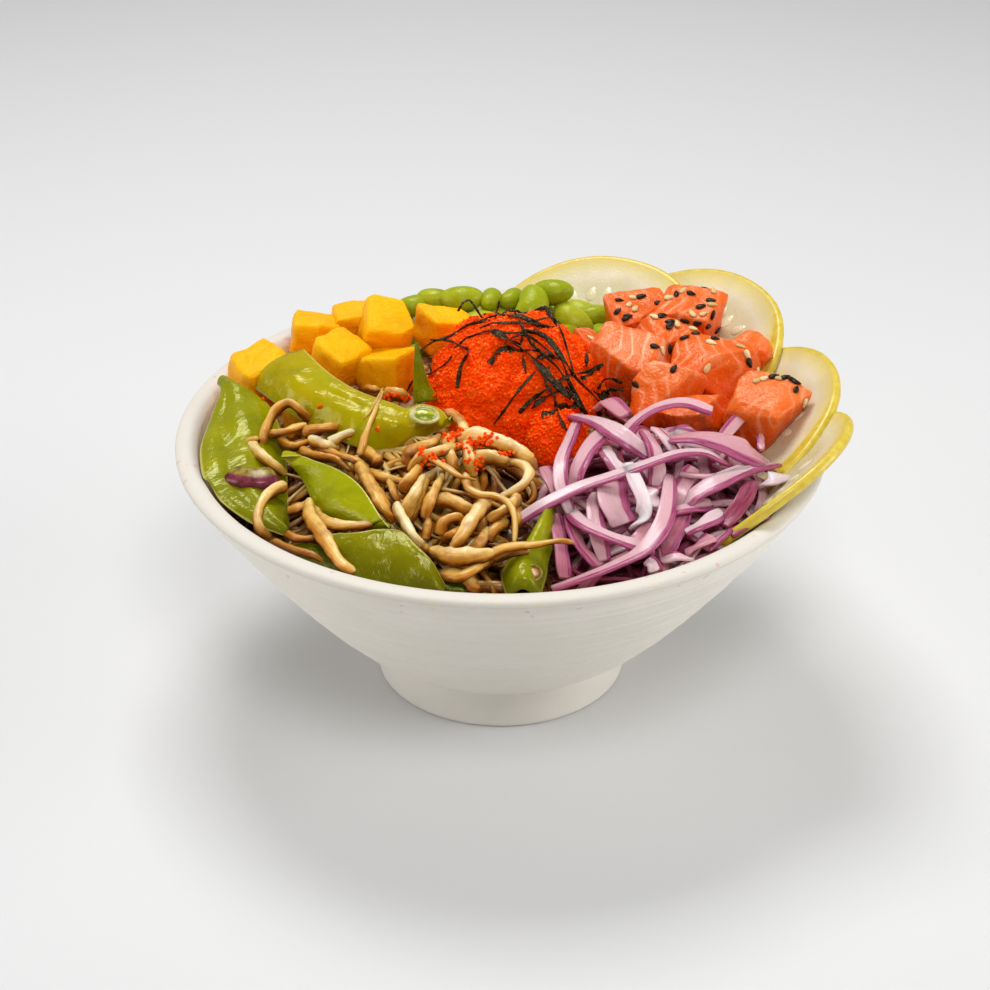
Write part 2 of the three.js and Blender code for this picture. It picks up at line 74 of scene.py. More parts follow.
def sight_ways(u, v):
    """Ways of the lines of sight through pixels (u, v): ahead + right (u - u0) / f + above (v0 - v) / f."""
    u0, v0 = PHOTO_CENTRE
    return ahead + np.outer((u - u0) / FOCAL_PIXELS, right) + np.outer((v0 - v) / FOCAL_PIXELS, above)


def sight(pixels, surface):
    """Points where the lines of sight through pixels (u, v, lift) meet z = surface(x, y) + lift. The heights
    are tried in small steps from high to low, and the first under the surface is taken."""
    u, v, lift = np.asarray(pixels, float).T
    ways = sight_ways(u, v)
    t = (HEIGHTS_TRIED - eye[2]) / ways[:, 2:]
    x, y = eye[0] + t * ways[:, :1], eye[1] + t * ways[:, 1:2]
    first = (HEIGHTS_TRIED <= surface(x, y) + lift[:, None]).argmax(axis=1)
    row = np.arange(len(u))
    return np.stack([x[row, first], y[row, first], HEIGHTS_TRIED[first]], axis=-1)


for name, place, size, watts in (
    ("overhead light", (-0.1, 0.38, 0.9), 0.4, 6.0),
    ("left light", (-0.9, -0.1, 0.3), 0.5, 2.8),
    ("right light", (0.9, -0.1, 0.32), 0.5, 4.3),
    ("front light", (0.1, -0.7, 0.95), 0.35, 4.8),
):
    lamp = bpy.data.objects.new(name, bpy.data.lights.new(name, "AREA"))
    lamp.data.size = size
    lamp.data.energy = watts
    lamp.location = place
    aim = np.subtract(LIGHTS_AIM, place)
    lamp.rotation_euler = (math.atan2(math.hypot(aim[0], aim[1]), -aim[2]), 0, math.atan2(-aim[0], aim[1]))
    bpy.context.collection.objects.link(lamp)

tabletop = bpy.data.meshes.new("tabletop")
corners = [(x * TABLE_REACH, y * TABLE_REACH, 0) for x, y in ((-1, -1), (1, -1), (1, 1), (-1, 1))]
tabletop.from_pydata(corners, [], [(0, 1, 2, 3)])
white = bpy.data.materials.new("white table")
white.use_nodes = True
white.node_tree.nodes["Principled BSDF"].inputs["Base Color"].default_value = (0.69, 0.69, 0.69, 1)
white.node_tree.nodes["Principled BSDF"].inputs["Roughness"].default_value = 0.8
tabletop.materials.append(white)
table = bpy.data.objects.new("table", tabletop)
bpy.context.collection.objects.link(table)

room = bpy.data.worlds.new("room")
room.use_nodes = True
room.node_tree.nodes["Background"].inputs["Color"].default_value = (1, 1, 1, 1)
room.node_tree.nodes["Background"].inputs["Strength"].default_value = 0.22
bpy.context.scene.world = room

# The bowl
#
# A takeaway bowl of pressed white plant fibre: a cone that swells out from a round foot to a thick rolled
# lip. It is pressed in one mould, whose steps leave faint rings on the outside of the wall.
RIM_RADIUS = 100
RIM_TOP = 83.3
LIP_HEIGHT = 6
LIP_WIDTH = 6.4
FOOT_RADIUS = 39.5
FOOT_HEIGHT = 14
FLOOR_TOP = 2.4
WALL = 3
WALL_FOOT = FOOT_HEIGHT + 2.2
WALL_TOP = RIM_TOP - LIP_HEIGHT - 1.6
BOWL_AROUND = 192


def wall_radius(z):
    """Radius of the outer wall: it grows from foot to lip with the 0.8th power of the height."""
    start, end = FOOT_RADIUS + 4.5, RIM_RADIUS - 4.8
    return start + (end - start) * ((z - WALL_FOOT) / (WALL_TOP - WALL_FOOT)) ** 0.8


def through(knots, count):
    """count points on the Catmull-Rom curve through the knots: between two knots it is the cubic whose slope
    at each knot is half the way from the knot before to the knot after."""
    knots = np.asarray(knots, float)
    padded = np.vstack([2 * knots[0] - knots[1], knots, 2 * knots[-1] - knots[-2]])
    t = np.linspace(0, len(knots) - 1, count)
    k = np.minimum(t.astype(int), len(knots) - 2)
    f = (t - k)[:, None]
    a, b, c, d = (padded[k + shift] for shift in range(4))
    return b + 0.5 * f * (c - a + f * (2 * a - 5 * b + 4 * c - d + f * (3 * (b - c) + d - a)))


def turned(profile, around):
    """Rings of a profile of (radius, height) turned about the upright axis."""
    turn = np.linspace(0, 2 * np.pi, around, endpoint=False)
    r, z = np.asarray(profile).T[..., None]
    return np.stack([r * np.cos(turn), r * np.sin(turn), z + 0 * turn], axis=-1)[None]


def ring_points(rings):
    """Rows of rings, (rows, rings, points, 3), as one list, each row closed by its end rings' middles."""
    ends = rings[:, [0, -1]].mean(axis=2)
    return np.concatenate([rings.reshape(len(rings), -1, 3), ends], axis=1).reshape(-1, 3)


def ring_faces(rows, along, around):
    """Triangles between neighbouring rings of each row, and a fan from each end ring to its middle."""
    k, j = np.meshgrid(np.arange(along - 1), np.arange(around), indexing="ij")
    a, b = k * around + j, k * around + (j + 1) % around
    c, d = a + around, b + around
    wall = np.stack([a, b, d, a, d, c], axis=-1).reshape(-1, 3)
    j, after = np.arange(around), (np.arange(around) + 1) % around
    last, middle = (along - 1) * around, np.full(around, along * around)
    fans = [np.stack([after, j, middle], -1), np.stack([last + j, last + after, middle + 1], -1)]
    one = np.concatenate([wall, *fans])
    return (one + (np.arange(rows) * (along * around + 2))[:, None, None]).reshape(-1, 3)


def mesh_piece(name, points, faces, material, **marks):
    """A smooth mesh at the origin from points in millimetres and triangles, with marks as vector attributes.

    The triangles are turned round where the volume, the sum of a . (b x c) / 6 over them, is negative."""
    a, b, c = np.moveaxis(points[faces], 1, 0)
    if np.einsum("ij,ij->", a, np.cross(b, c)) < 0:
        faces = faces[:, ::-1]
    mesh = bpy.data.meshes.new(name)
    mesh.vertices.add(len(points))
    mesh.vertices.foreach_set("co", np.ascontiguousarray(points * MM, np.float32).ravel())
    mesh.loops.add(faces.size)
    mesh.loops.foreach_set("vertex_index", np.ascontiguousarray(faces, np.int32).ravel())
    mesh.polygons.add(len(faces))
    mesh.polygons.foreach_set("loop_start", np.arange(0, faces.size, 3, dtype=np.int32))
    mesh.polygons.foreach_set("use_smooth", np.ones(len(faces), bool))
    for mark, values in marks.items():
        spot = mesh.attributes.new(mark, "FLOAT_VECTOR", "POINT")
        spot.data.foreach_set("vector", np.ascontiguousarray(values, np.float32).ravel())
    mesh.update(calc_edges=True)
    mesh.materials.append(material)
    made = bpy.data.objects.new(name, mesh)
    bpy.context.collection.objects.link(made)
    return made


def ring_piece(name, rings, material, **marks):
    """A mesh piece from rows of rings, with marks given ring by ring as its points are."""
    rows, along, around, _ = rings.shape
    flat = {mark: ring_points(np.broadcast_to(values, rings.shape)) for mark, values in marks.items()}
    return mesh_piece(name, ring_points(rings), ring_faces(rows, along, around), material, **flat)


def serve(piece, slot, *nodes):
    """Makes a piece part of the dish: it rides on the one body and stands for solids. The slot is not used.
    """
    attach(piece, "root")
    if nodes:
        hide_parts(*nodes)


def rgb(code):
    """The linear colour of a hex code."""
    shares = [int(code[k : k + 2], 16) / 255 for k in (1, 3, 5)]
    return (*[s / 12.92 if s < 0.04045 else ((s + 0.055) / 1.055) ** 2.4 for s in shares], 1)


class Wire:
    """An output socket of a material's nodes. Sums, differences, products and powers add a Math node each."""

    def __init__(self, socket):
        self.socket = socket

    def node(self, kind, settings, inputs, output=0):
        """Any node: its settings first, a ramp's stops among them, then its sockets' values or wires."""
        tree = self.socket.id_data
        made = tree.nodes.new(kind)
        for name, value in settings.items():
            if name == "stops":
                ramp = made.color_ramp
                while len(ramp.elements) < len(value):
                    ramp.elements.new(0)
                for element, (place, colour) in zip(ramp.elements, value):
                    element.position, element.color = place, colour
            else:
                setattr(made, name, value)
        for name, value in inputs.items():
            if isinstance(value, Wire):
                tree.links.new(value.socket, made.inputs[name])
            else:
                made.inputs[name].default_value = value
        return Wire(made.outputs[output])

    def math(self, operation, *others):
        """A Math node whose first value is this wire."""
        return self.node("ShaderNodeMath", {"operation": operation}, dict(enumerate((self, *others))))

    def __add__(self, other):
        return self.math("ADD", other)

    __radd__ = __add__

    def __sub__(self, other):
        return self.math("SUBTRACT", other)

    def __rsub__(self, other):
        return self.node("ShaderNodeMath", {"operation": "SUBTRACT"}, {0: other, 1: self})

    def __mul__(self, other):
        return self.math("MULTIPLY", other)

    __rmul__ = __mul__

    def __pow__(self, other):
        return self.math("POWER", other)

    def noise(self, scale, detail=2.0, roughness=0.5, distortion=0.0):
        """Smooth noise from 0 to 1 at this place, with so many features a unit."""
        inputs = {"Vector": self, "Scale": scale, "Detail": detail}
        inputs.update({"Roughness": roughness, "Distortion": distortion})
        return self.node("ShaderNodeTexNoise", {}, inputs)

    def step(self, low, high):
        """0 below low, 1 above high, and smooth between."""
        inputs = {"Value": self, "From Min": low, "From Max": high}
        return self.node("ShaderNodeMapRange", {"interpolation_type": "SMOOTHSTEP"}, inputs)

    def ramp(self, *stops):
        """A colour that changes along the stops (place, hex code)."""
        coloured = [(place, rgb(code)) for place, code in stops]
        return self.node("ShaderNodeValToRGB", {"stops": coloured}, {"Fac": self})

    def mix(self, colour, other):
        """This colour where the factor is 0 and the other where it is 1; self is the factor."""
        low, high = (value if isinstance(value, Wire) else rgb(value) for value in (colour, other))
        return self.node("ShaderNodeMix", {"data_type": "RGBA"}, {0: self, 6: low, 7: high}, 2)

    def split(self):
        """The three numbers of a vector."""
        parts = self.node("ShaderNodeSeparateXYZ", {}, {"Vector": self})
        return [Wire(socket) for socket in parts.socket.node.outputs]

    def scaled(self, factors):
        """A vector with each of its numbers multiplied."""
        return self.node("ShaderNodeVectorMath", {"operation": "MULTIPLY"}, {0: self, 1: factors})

    def mark(self, name):
        """The vector attribute of that name on the pieces of this material."""
        return self.node("ShaderNodeAttribute", {"attribute_name": name}, {}, "Vector")


def new_finish(name, **constants):
    """A material, and the wire of its places in metres. The constants go to the shader's own sockets."""
    material = bpy.data.materials.new(name)
    material.use_nodes = True
    tree = material.node_tree
    shader = tree.nodes["Principled BSDF"]
    for socket, value in constants.items():
        shader.inputs[socket.replace("_", " ")].default_value = value
    return material, Wire(tree.nodes.new("ShaderNodeTexCoord").outputs["Object"])


def dress(material, colour, roughness=None, relief=None, depth=0.0001):
    """Feeds the shader: a colour, a roughness, and a relief of so many metres as bumps."""
    tree = material.node_tree
    shader = tree.nodes["Principled BSDF"]
    tree.links.new(colour.socket, shader.inputs["Base Color"])
    if roughness:
        tree.links.new(roughness.socket, shader.inputs["Roughness"])
    if relief:
        bump = relief.node("ShaderNodeBump", {}, {"Height": relief, "Distance": depth, "Strength": 1.0})
        tree.links.new(bump.socket, shader.inputs["Normal"])


fibre, place = new_finish("pressed fibre", Roughness=0.55, Specular_IOR_Level=0.4)
x, y, z = place.split()
# A soft mottle of two creams. Above 81 mm the lip's top is painted a greyer tone, painted shade that tones
# down the light on it.
mottle_and_lip_shade = z.step(0.081, 0.0838).mix(place.noise(60, 4).mix("#F0EBE0", "#E6E0D4"), "#D9D2C7")
near_rim = z.step(0.072, 0.080)
yellow_stain = place.noise(330, 1).step(0.68, 0.76) * near_rim * 0.5
pink_stain = place.noise(410, 0).step(0.77, 0.82) * near_rim * 0.45
stains_and_painted_light = pink_stain.mix(yellow_stain.mix(mottle_and_lip_shade, "#E6D49A"), "#D993A0")
reach = (x * x + y * y) ** 0.5
# The inner wall above 60 mm is painted a bright cream: painted light on a wall that lies in shade.
inside = (z * 0.71 + 0.0416 - reach).step(0.0012, 0.0024) * (1 - reach.step(0.0925, 0.0945))
stains_and_painted_light = (inside * z.step(0.06, 0.07)).mix(stains_and_painted_light, "#FFF0D2")
dress(fibre, stains_and_painted_light, relief=place.noise(900, 3, 0.6) + place.noise(120, 2) * 0.8, depth=0.00012)

foot = [
    (38.3, 0), (39.0, 0.25), (39.5, 1.2), (39.75, 4), (40.2, 9), (40.5, 13), (41.2, 14.3), (42.6, 15.3),
]
wall_heights = np.linspace(WALL_FOOT, WALL_TOP, 90)
ring_relief = 0.3 * np.sin(wall_heights * 1.7) * np.sin(wall_heights * 0.31 + 0.6)
outer = np.stack([wall_radius(wall_heights) + ring_relief, wall_heights], axis=1)
lip = [
    (95.2, 75.7), (95.9, 77.6), (96.7, 79.6), (97.9, 81.2), (99.1, 81.9), (99.85, 82.8), (99.9, 83.6),
    (99.2, 84.4), (97.7, 84.8), (95.8, 84.8), (94.3, 84.1), (93.3, 82.6), (92.9, 80.4), (92.6, 78),
]
inner_heights = np.array([74, 60, 42, 30, 22])
inner = np.stack([wall_radius(inner_heights) - WALL, inner_heights], axis=1)
floor_edge = [(FOOT_RADIUS - 1.4, FOOT_HEIGHT + 0.6), (FOOT_RADIUS - 2, 6), (FOOT_RADIUS - 5, FLOOR_TOP)]
bowl_profile = np.vstack([
    [(2, 0), (20, 0)],
    through(foot, 24),
    outer[1:-1],
    through(lip, 66),
    through(inner, 20),
    floor_edge,
    [(2, FLOOR_TOP)],
])
serve(ring_piece("bowl_shell", turned(bowl_profile, BOWL_AROUND), fibre), "fibre", "bowl")

# The quinoa
#
# Cooked grain fills the bowl up to a little under the rim and carries everything else. It is one body with a
# grainy top, painted near-black at the front as shade, and loose flat grains of 2 mm are strewn over it.
GRAIN = 2.1
GRAINS = 900
BED_MIDDLE = 76
BED_FALL = 0.0012
BED_SWELLS = [(-55, 42, 12, 28), (2, 66, 8, 20), (58, 36, 13, 24)]
BED_AROUND, BED_RINGS = 300, 80
inside_profile = np.array([
    (0, FLOOR_TOP),
    *floor_edge[::-1],
    *[(wall_radius(z) - WALL, z) for z in (22, 42, WALL_TOP - 3)],
    (RIM_RADIUS - LIP_WIDTH, RIM_TOP - 3),
])


def domed(middle, fall, swells):
    """Height over (x, y): the middle's, less fall times the squared distance from the axis, plus a round bell
    height exp(-d^2 / (2 spread^2)) for each swell (x, y, height, spread)."""

    def height(x, y):
        z = middle - fall * (x**2 + y**2)
        for sx, sy, tall, spread in swells:
            z = z + tall * np.exp(-((x - sx) ** 2 + (y - sy) ** 2) / (2 * spread**2))
        return z

    return height


def ripple(points, size, seed):
    """Smooth relief from about -1 to 1: the mean of eight sine waves about size long in random directions."""
    draw = np.random.default_rng(seed)
    ways = draw.normal(size=(8, 3))
    ways *= (2 * np.pi / size) * draw.uniform(0.7, 1.4, (8, 1)) / np.linalg.norm(ways, axis=1, keepdims=True)
    return np.sin(points @ ways.T + draw.uniform(0, 6.3, 8)).mean(axis=-1) * 2


def ball_rings(rows, around, taper=0.0):
    """Rings of a ball, (rows, around, 3), at equal steps of latitude, every second one turned by half a step,
    and narrowed towards +z by the taper."""
    lat = (np.arange(rows) + 1) / (rows + 1) * np.pi
    lon = (np.arange(around) + 0.5 * (np.arange(rows) % 2)[:, None]) / around * 2 * np.pi
    wide = (np.sin(lat) * (1 - taper * np.cos(lat)))[:, None]
    return np.stack([wide * np.cos(lon), wide * np.sin(lon), np.cos(lat)[:, None] + 0 * lon], axis=-1)


def random_frames(count, draw):
    """Right-handed frames turned at random, from the QR factors of random matrices."""
    frames = np.linalg.qr(draw.normal(size=(count, 3, 3)))[0]
    frames[:, :, 0] *= np.linalg.det(frames)[:, None]
    return frames


def balls(centres, radii, rows, around, seed):
    """Rings of small balls, each stretched by its three radii and turned at random."""
    frames = random_frames(len(centres), np.random.default_rng(seed))
    stretched = ball_rings(rows, around)[None] * np.asarray(radii)[:, None, None, :]
    return centres[:, None, None, :] + np.einsum("nkjc,nac->nkja", stretched, frames)


# The bed's edge stands 0.4 mm off the wall, at the radius that the wall has at the bed's own height.
bed_height = domed(BED_MIDDLE, BED_FALL, BED_SWELLS)
turn = np.linspace(0, 2 * np.pi, BED_AROUND, endpoint=False)
edge = np.full(BED_AROUND, 85.0)
for _ in range(12):
    edge_height = bed_height(edge * np.cos(turn), edge * np.sin(turn))
    edge = np.interp(edge_height, inside_profile[:, 1], inside_profile[:, 0]) - 0.4
share = np.linspace(1, 0.01, BED_RINGS)[:, None]
top_x, top_y = share * edge * np.cos(turn), share * edge * np.sin(turn)
top = np.stack([top_x, top_y, bed_height(top_x, top_y)], axis=-1)
top[1:, :, 2] += 0.45 * ripple(top[1:], 4.5, 3) - 0.5
side_profile = [(1, 2.7), (34, 2.7), (37, 6.4), (37.6, 14.6)]
side_profile += [(wall_radius(z) - WALL - 0.4, z) for z in (22, 42, 58)]
rings = np.concatenate([turned(side_profile, BED_AROUND)[0], top])[None]

quinoa, place = new_finish("cooked quinoa", Roughness=0.5, Specular_IOR_Level=0.4)
cells = place.node("ShaderNodeTexVoronoi", {}, {"Vector": place, "Scale": 520.0})
grains = place.noise(300, 2).ramp((0.3, "#DCC48E"), (0.7, "#B8924E"))
# The front of the bed, in front of y = -45 mm, is painted near-black: painted shade at the front of the bowl.
clear_of_front_shade = place.split()[1].step(-0.075, -0.045)
# Between the grains, where the relief is low, the colour is painted a darker brown: painted shade.
colour = clear_of_front_shade.mix("#3A1A08", cells.step(0.3, 0.9).mix(grains, "#8A6434"))
dress(quinoa, colour, relief=1 - cells, depth=0.0006)
serve(ring_piece("quinoa", rings, quinoa), "quinoa", "quinoa_bed")

draw = np.random.default_rng(21)
reach, way = np.sqrt(draw.uniform(0, 1, GRAINS)) * 82, draw.uniform(0, 2 * np.pi, GRAINS)
spots = np.stack([reach * np.cos(way), reach * np.sin(way)], axis=1)
centres = np.column_stack([spots, bed_height(*spots.T) + 0.3])
sizes = GRAIN / 2 * draw.uniform(0.8, 1.1, (GRAINS, 1)) * [1, 1, 0.62]
serve(ring_piece("quinoa_grains", balls(centres, sizes, 4, 7, 22), quinoa), "quinoa")

# The squash slices
#
# Four round slices of raw yellow squash, 3.4 mm thick, lean outward on the rim behind and beside the salmon.
# The flesh is pale and wet, with a ring of flat seeds in soft pockets and a thin yellow skin round the edge.
SLICE_THICKNESS = 3.4
SKIN = 1.5
POCKETS = 13
SEED_LONG, SEED_WIDE, SEED_THICK = 3.3, 2.0, 0.62
SEEDS_TURNED = (107, 70, 67, 60)
SEED_GROUPS = [0, 118, 239]
SEED_SPREAD = [-22, -7.4, 7.4, 22]
SEEDS = len(SEED_GROUPS) * len(SEED_SPREAD)

# Each slice: its middle, the ways it faces and leans in degrees, how far it bows, and its radius.
SLICES = [
    (29, 64, 76.6, 34, 54, 3.8, 39),
    (56.6, 52, 77.7, 56, 54, 4.4, 40),
    (74.3, 9.3, 74.8, 83, 51, 2, 38.2),
    (77.4, -25.7, 73, 112, 43, 4.6, 37.7),
]


def on_slice(row, x, y, z):
    """Places in the bowl of points (x, y, z) of a slice: x level, y uphill and z inward from its middle. It
    bows inward by bow (x / radius)^2."""
    middle, (facing, lean), (bow, radius) = np.array(row[:3]), np.radians(row[3:5]), row[5:]
    level = np.array([np.cos(facing), -np.sin(facing), 0])
    uphill = np.array([np.sin(facing) * np.sin(lean), np.cos(facing) * np.sin(lean), np.cos(lean)])
    inward = np.array([-np.sin(facing) * np.cos(lean), -np.cos(facing) * np.cos(lean), np.sin(lean)])
    out = z + bow * (x / radius) ** 2
    return middle + x[..., None] * level + y[..., None] * uphill + out[..., None] * inward


squash, place = new_finish(
    "raw squash",
    Specular_IOR_Level=0.45,
    Subsurface_Weight=0.12,
    Subsurface_Scale=0.004,
)
cut = place.mark("cut")
across, uphill, thick = cut.split()
reach = (across**2 + uphill**2) ** 0.5
flesh = reach.ramp(
    (0.0, "#DCD4B0"), (0.5, "#CEC49A"), (0.7, "#D4CAA4"),
    (0.8, "#DED4B6"), (0.88, "#DED094"), (0.96, "#D8C264"),
)
flesh = (place.noise(150, 3).step(0.4, 0.75) * 0.3).mix(flesh, "#CCBE8C")
aslant = across.step(0.35, 0.95) * 0.13
skin = (reach + aslant + (place.noise(260, 2) - 0.5) * 0.02).step(0.94, 0.985)
rind = place.noise(420, 3).ramp((0.3, "#CCB030"), (0.7, "#DCC64C"))
pits = place.noise(900, 2, 0.7) + place.noise(150, 3)
dress(squash, skin.mix(flesh, rind), place.noise(300, 3) * 0.2 + 0.2, pits, 0.00008)

turn = np.linspace(0, 2 * np.pi, 150, endpoint=False)
faces_share = np.linspace(0.02, 0.955, 34)
bevel = np.linspace(np.pi / 2, -np.pi / 2, 9)
lat = np.linspace(0.12, np.pi - 0.12, 9)[None, :, None]
lon = np.linspace(0, 2 * np.pi, 14, endpoint=False)[None, None, :]
draw = np.random.default_rng(5)
seed_points, seed_marks = [], []
for k, row in enumerate(SLICES):
    radius = row[6]
    edge_share = 1 - SKIN / radius * (1 - np.cos(bevel))
    r = np.concatenate([faces_share, edge_share, faces_share[::-1]])[:, None] * radius
    r = r * (1 + 0.006 * np.sin(3 * turn + k) + 0.003 * np.sin(7 * turn))
    x, y = r * np.cos(turn), r * np.sin(turn)
    side = np.concatenate([1 + 0 * faces_share, np.sin(bevel), -1 + 0 * faces_share])[:, None]
    half = SLICE_THICKNESS / 2 * side + 0 * x
    pocket = np.exp(-(((r / radius - 0.6) / 0.13) ** 2)) * (0.25 + 0.12 * np.sin(POCKETS * turn))
    inside_skin = (np.abs(half) > SLICE_THICKNESS / 2 - 0.01) * np.clip((0.95 - r / radius) * 12, 0, 1)
    local = np.stack([x, y, half], axis=-1)
    z = half - np.sign(half) * inside_skin * (pocket + 0.05 * ripple(local, 6, 40 + k) + 0.15)
    cut_mark = np.stack([x / radius, y / radius, half], axis=-1)[None]
    piece = ring_piece(f"squash_{k + 1}", on_slice(row, x, y, z)[None], squash, cut=cut_mark)
    serve(piece, "squash", f"squash_slice_{k + 1}")
    for side in (-1, 1):
        spread = SEEDS_TURNED[k] + np.add.outer(SEED_GROUPS, SEED_SPREAD).ravel()
        angle = np.radians(spread + draw.normal(0, 1.2, SEEDS))
        reach = draw.uniform(0.58, 0.63, SEEDS) * radius
        heading = angle + draw.normal(0, 0.2, SEEDS)
        size = draw.uniform(0.8, 1.05, (SEEDS, 1, 1))
        long = SEED_LONG * size * np.cos(lat) + 0 * lon
        wide = SEED_WIDE * size * np.sin(lat) * np.cos(lon) * (1 - 0.25 * np.cos(lat))
        c, s = np.cos(heading)[:, None, None], np.sin(heading)[:, None, None]
        x = (reach * np.cos(angle))[:, None, None] + long * c - wide * s
        y = (reach * np.sin(angle))[:, None, None] + long * s + wide * c
        z = side * (SLICE_THICKNESS / 2 - 0.5) + SEED_THICK * np.sin(lat) * np.sin(lon) * size
        seed_points.append(on_slice(row, x, y, z))
        tone = 0 * long + draw.uniform(0, 1, (SEEDS, 1, 1))
        seed_marks.append(np.stack([long / SEED_LONG, wide / SEED_WIDE, tone], -1))

squash_seed, place = new_finish("squash seed", Roughness=0.28, Subsurface_Weight=0.1, Subsurface_Scale=0.003)
along, wide, tone = place.mark("seed").split()
rim = (along**2 + wide**2).step(0.55, 1.0)
colour = rim.mix(tone.ramp((0.2, "#E4DCB8"), (0.8, "#D4C998")), "#C9BB80")
colour = (place.noise(500, 2).step(0.4, 0.8) * 0.4).mix(colour, "#D6CC96")
dress(squash_seed, colour, relief=place.noise(800, 2), depth=0.0002)
seed_rings, seed_marks = np.concatenate(seed_points), np.concatenate(seed_marks)
serve(ring_piece("squash_seeds", seed_rings, squash_seed, seed=seed_marks), "squash")

# The mango
#
# Ripe mango cut by hand into dice of about 15 mm, heaped at the back left. The cut faces are flat and wet,
# with soft edges and faint fibres along the fruit.
MANGO_DICE = 15
MANGO_RAGGED = 1.5
MANGO_ROUNDNESS = 9
MANGO_TORN = (0.9, 0.8, 0.7, 0.4, 0.15, 0.4, 0.2, 0.5)

# Each dice: its middle, its three sizes, and its turns about z, x and y in degrees.
M = MANGO_DICE
MANGO = [
    (-77, 32, 86, M * 1.2, M * 1.1, M * 1.2, 40, 8, -6),
    (-60, 53, 88, M * 1.15, M * 1.05, M * 1.1, 8, -6, 6),
    (-46.5, 62, 89, M * 1.05, M, M, 8, 4, -8),
    (-52, 35, 90, M * 1.22, M * 1.06, M * 1.08, 52, 16, 10),
    (-38, 49, 92.5, M * 1.05, M * 1.05, M * 1.3, 12, 20, 10),
    (-19, 58, 89, M * 1.05, M * 0.85, M * 0.95, 30, 6, 14),
    (-36.5, 33.5, 86, M * 1.08, M * 1.08, M * 1.02, 62, -10, 8),
    (-61, 15, 83, M, M, M * 0.9, 25, 5, -5),
]


def cube_grid(n):
    """Points and triangles of a cube from -1 to 1 with n x n squares a side, narrower towards its edges. A
    side is the grid (1, sin s, sin t), turned to each axis, and points that two sides share are one."""
    line = np.sin(np.linspace(-1, 1, n + 1) * np.pi / 2)
    s, t = np.meshgrid(line, line, indexing="ij")
    ends = [np.stack([end + 0 * s, end * s, t], axis=-1) for end in (-1, 1)]
    sides = [np.roll(side, axis, axis=-1) for axis in range(3) for side in ends]
    k, j = np.meshgrid(np.arange(n), np.arange(n), indexing="ij")
    a = (k * (n + 1) + j).ravel()
    b, c, d = a + 1, a + n + 2, a + n + 1
    side = np.concatenate([np.stack([a, d, c], -1), np.stack([a, c, b], -1)])
    faces = (side + (np.arange(6) * (n + 1) ** 2)[:, None, None]).reshape(-1, 3)
    points, index = np.unique(np.stack(sides).reshape(-1, 3).round(6), axis=0, return_inverse=True)
    return points, index.reshape(-1)[faces]


def diced(row, ragged, roundness, seed):
    """Places of the cube's points as a hand-cut dice, in its own frame, and the frame's turn and middle.

    A point p goes to p / (|x|^n + |y|^n + |z|^n)^(1/n) times half the size, which rounds the edges. Then each
    corner pulls it by the corner's own offset, as much as the point is near to it. The offsets are numbers of
    a plain generator, state = (state a + b) mod 2^32, so that they are the same in any program."""
    state, offsets = seed, []
    for _ in range(8 * 3):
        state = (state * 1664525 + 1013904223) % 2**32
        offsets.append(2 * state / 2**32 - 1)
    ends = np.array([[1 if k >> axis & 1 else -1 for axis in range(3)] for k in range(8)])
    near = (1 + ends[None] * cube_points[:, None]).prod(axis=2) / 8
    norm = (np.abs(cube_points) ** roundness).sum(axis=1, keepdims=True) ** (1 / roundness)
    local = cube_points / norm * np.array(row[3:6]) / 2 + near @ np.reshape(offsets, (8, 3)) * ragged
    (cz, cx, cy), (sz, sx, sy) = np.cos(np.radians(row[6:9])), np.sin(np.radians(row[6:9]))
    yaw = np.array([[cz, -sz, 0], [sz, cz, 0], [0, 0, 1]])
    roll = np.array([[1, 0, 0], [0, cx, -sx], [0, sx, cx]])
    pitch = np.array([[cy, 0, sy], [0, 1, 0], [-sy, 0, cy]])
    return local, yaw @ pitch @ roll, np.array(row[:3])


def facets(points, count, share, seed):
    """Points cut back by planes p . n = share max(p . n) with random ways n: what is past a plane is pressed
    to a twelfth of its distance."""
    draw = np.random.default_rng(seed)
    for n in draw.normal(size=(count, 3)):
        n /= np.linalg.norm(n)
        past = points @ n
        past = np.maximum(0, past - draw.uniform(share, 0.95) * past.max())
        points = points - (0.92 * past)[:, None] * n
    return points


cube_points, cube_faces = cube_grid(26)
cube_ways = cube_points / np.linalg.norm(cube_points, axis=1, keepdims=True)

mango, place = new_finish(
    "ripe mango",
    Specular_IOR_Level=0.22,
    Specular_Tint=(1, 0.7, 0.15, 1),
    Subsurface_Weight=0.5,
    Subsurface_Scale=0.006,
    Subsurface_Radius=(1, 0.5, 0.1),
)
fibres = place.mark("grain").scaled((0.25, 1.6, 1.6)).noise(1.0, 3, 0.6)
# The facing mark paints faces turned up lighter and faces turned down darker: painted light and shade.
facing = place.mark("facing").split()[0]
body = place.noise(110, 3) * 0.6 + facing * 0.5 - 0.05
colour = body.ramp((0.25, "#FF9C04"), (0.45, "#FFA804"), (0.65, "#FFB408"), (0.85, "#FFBE14"))
colour = (fibres.step(0.5, 0.8) * 0.4).mix(colour, "#FFC61C")
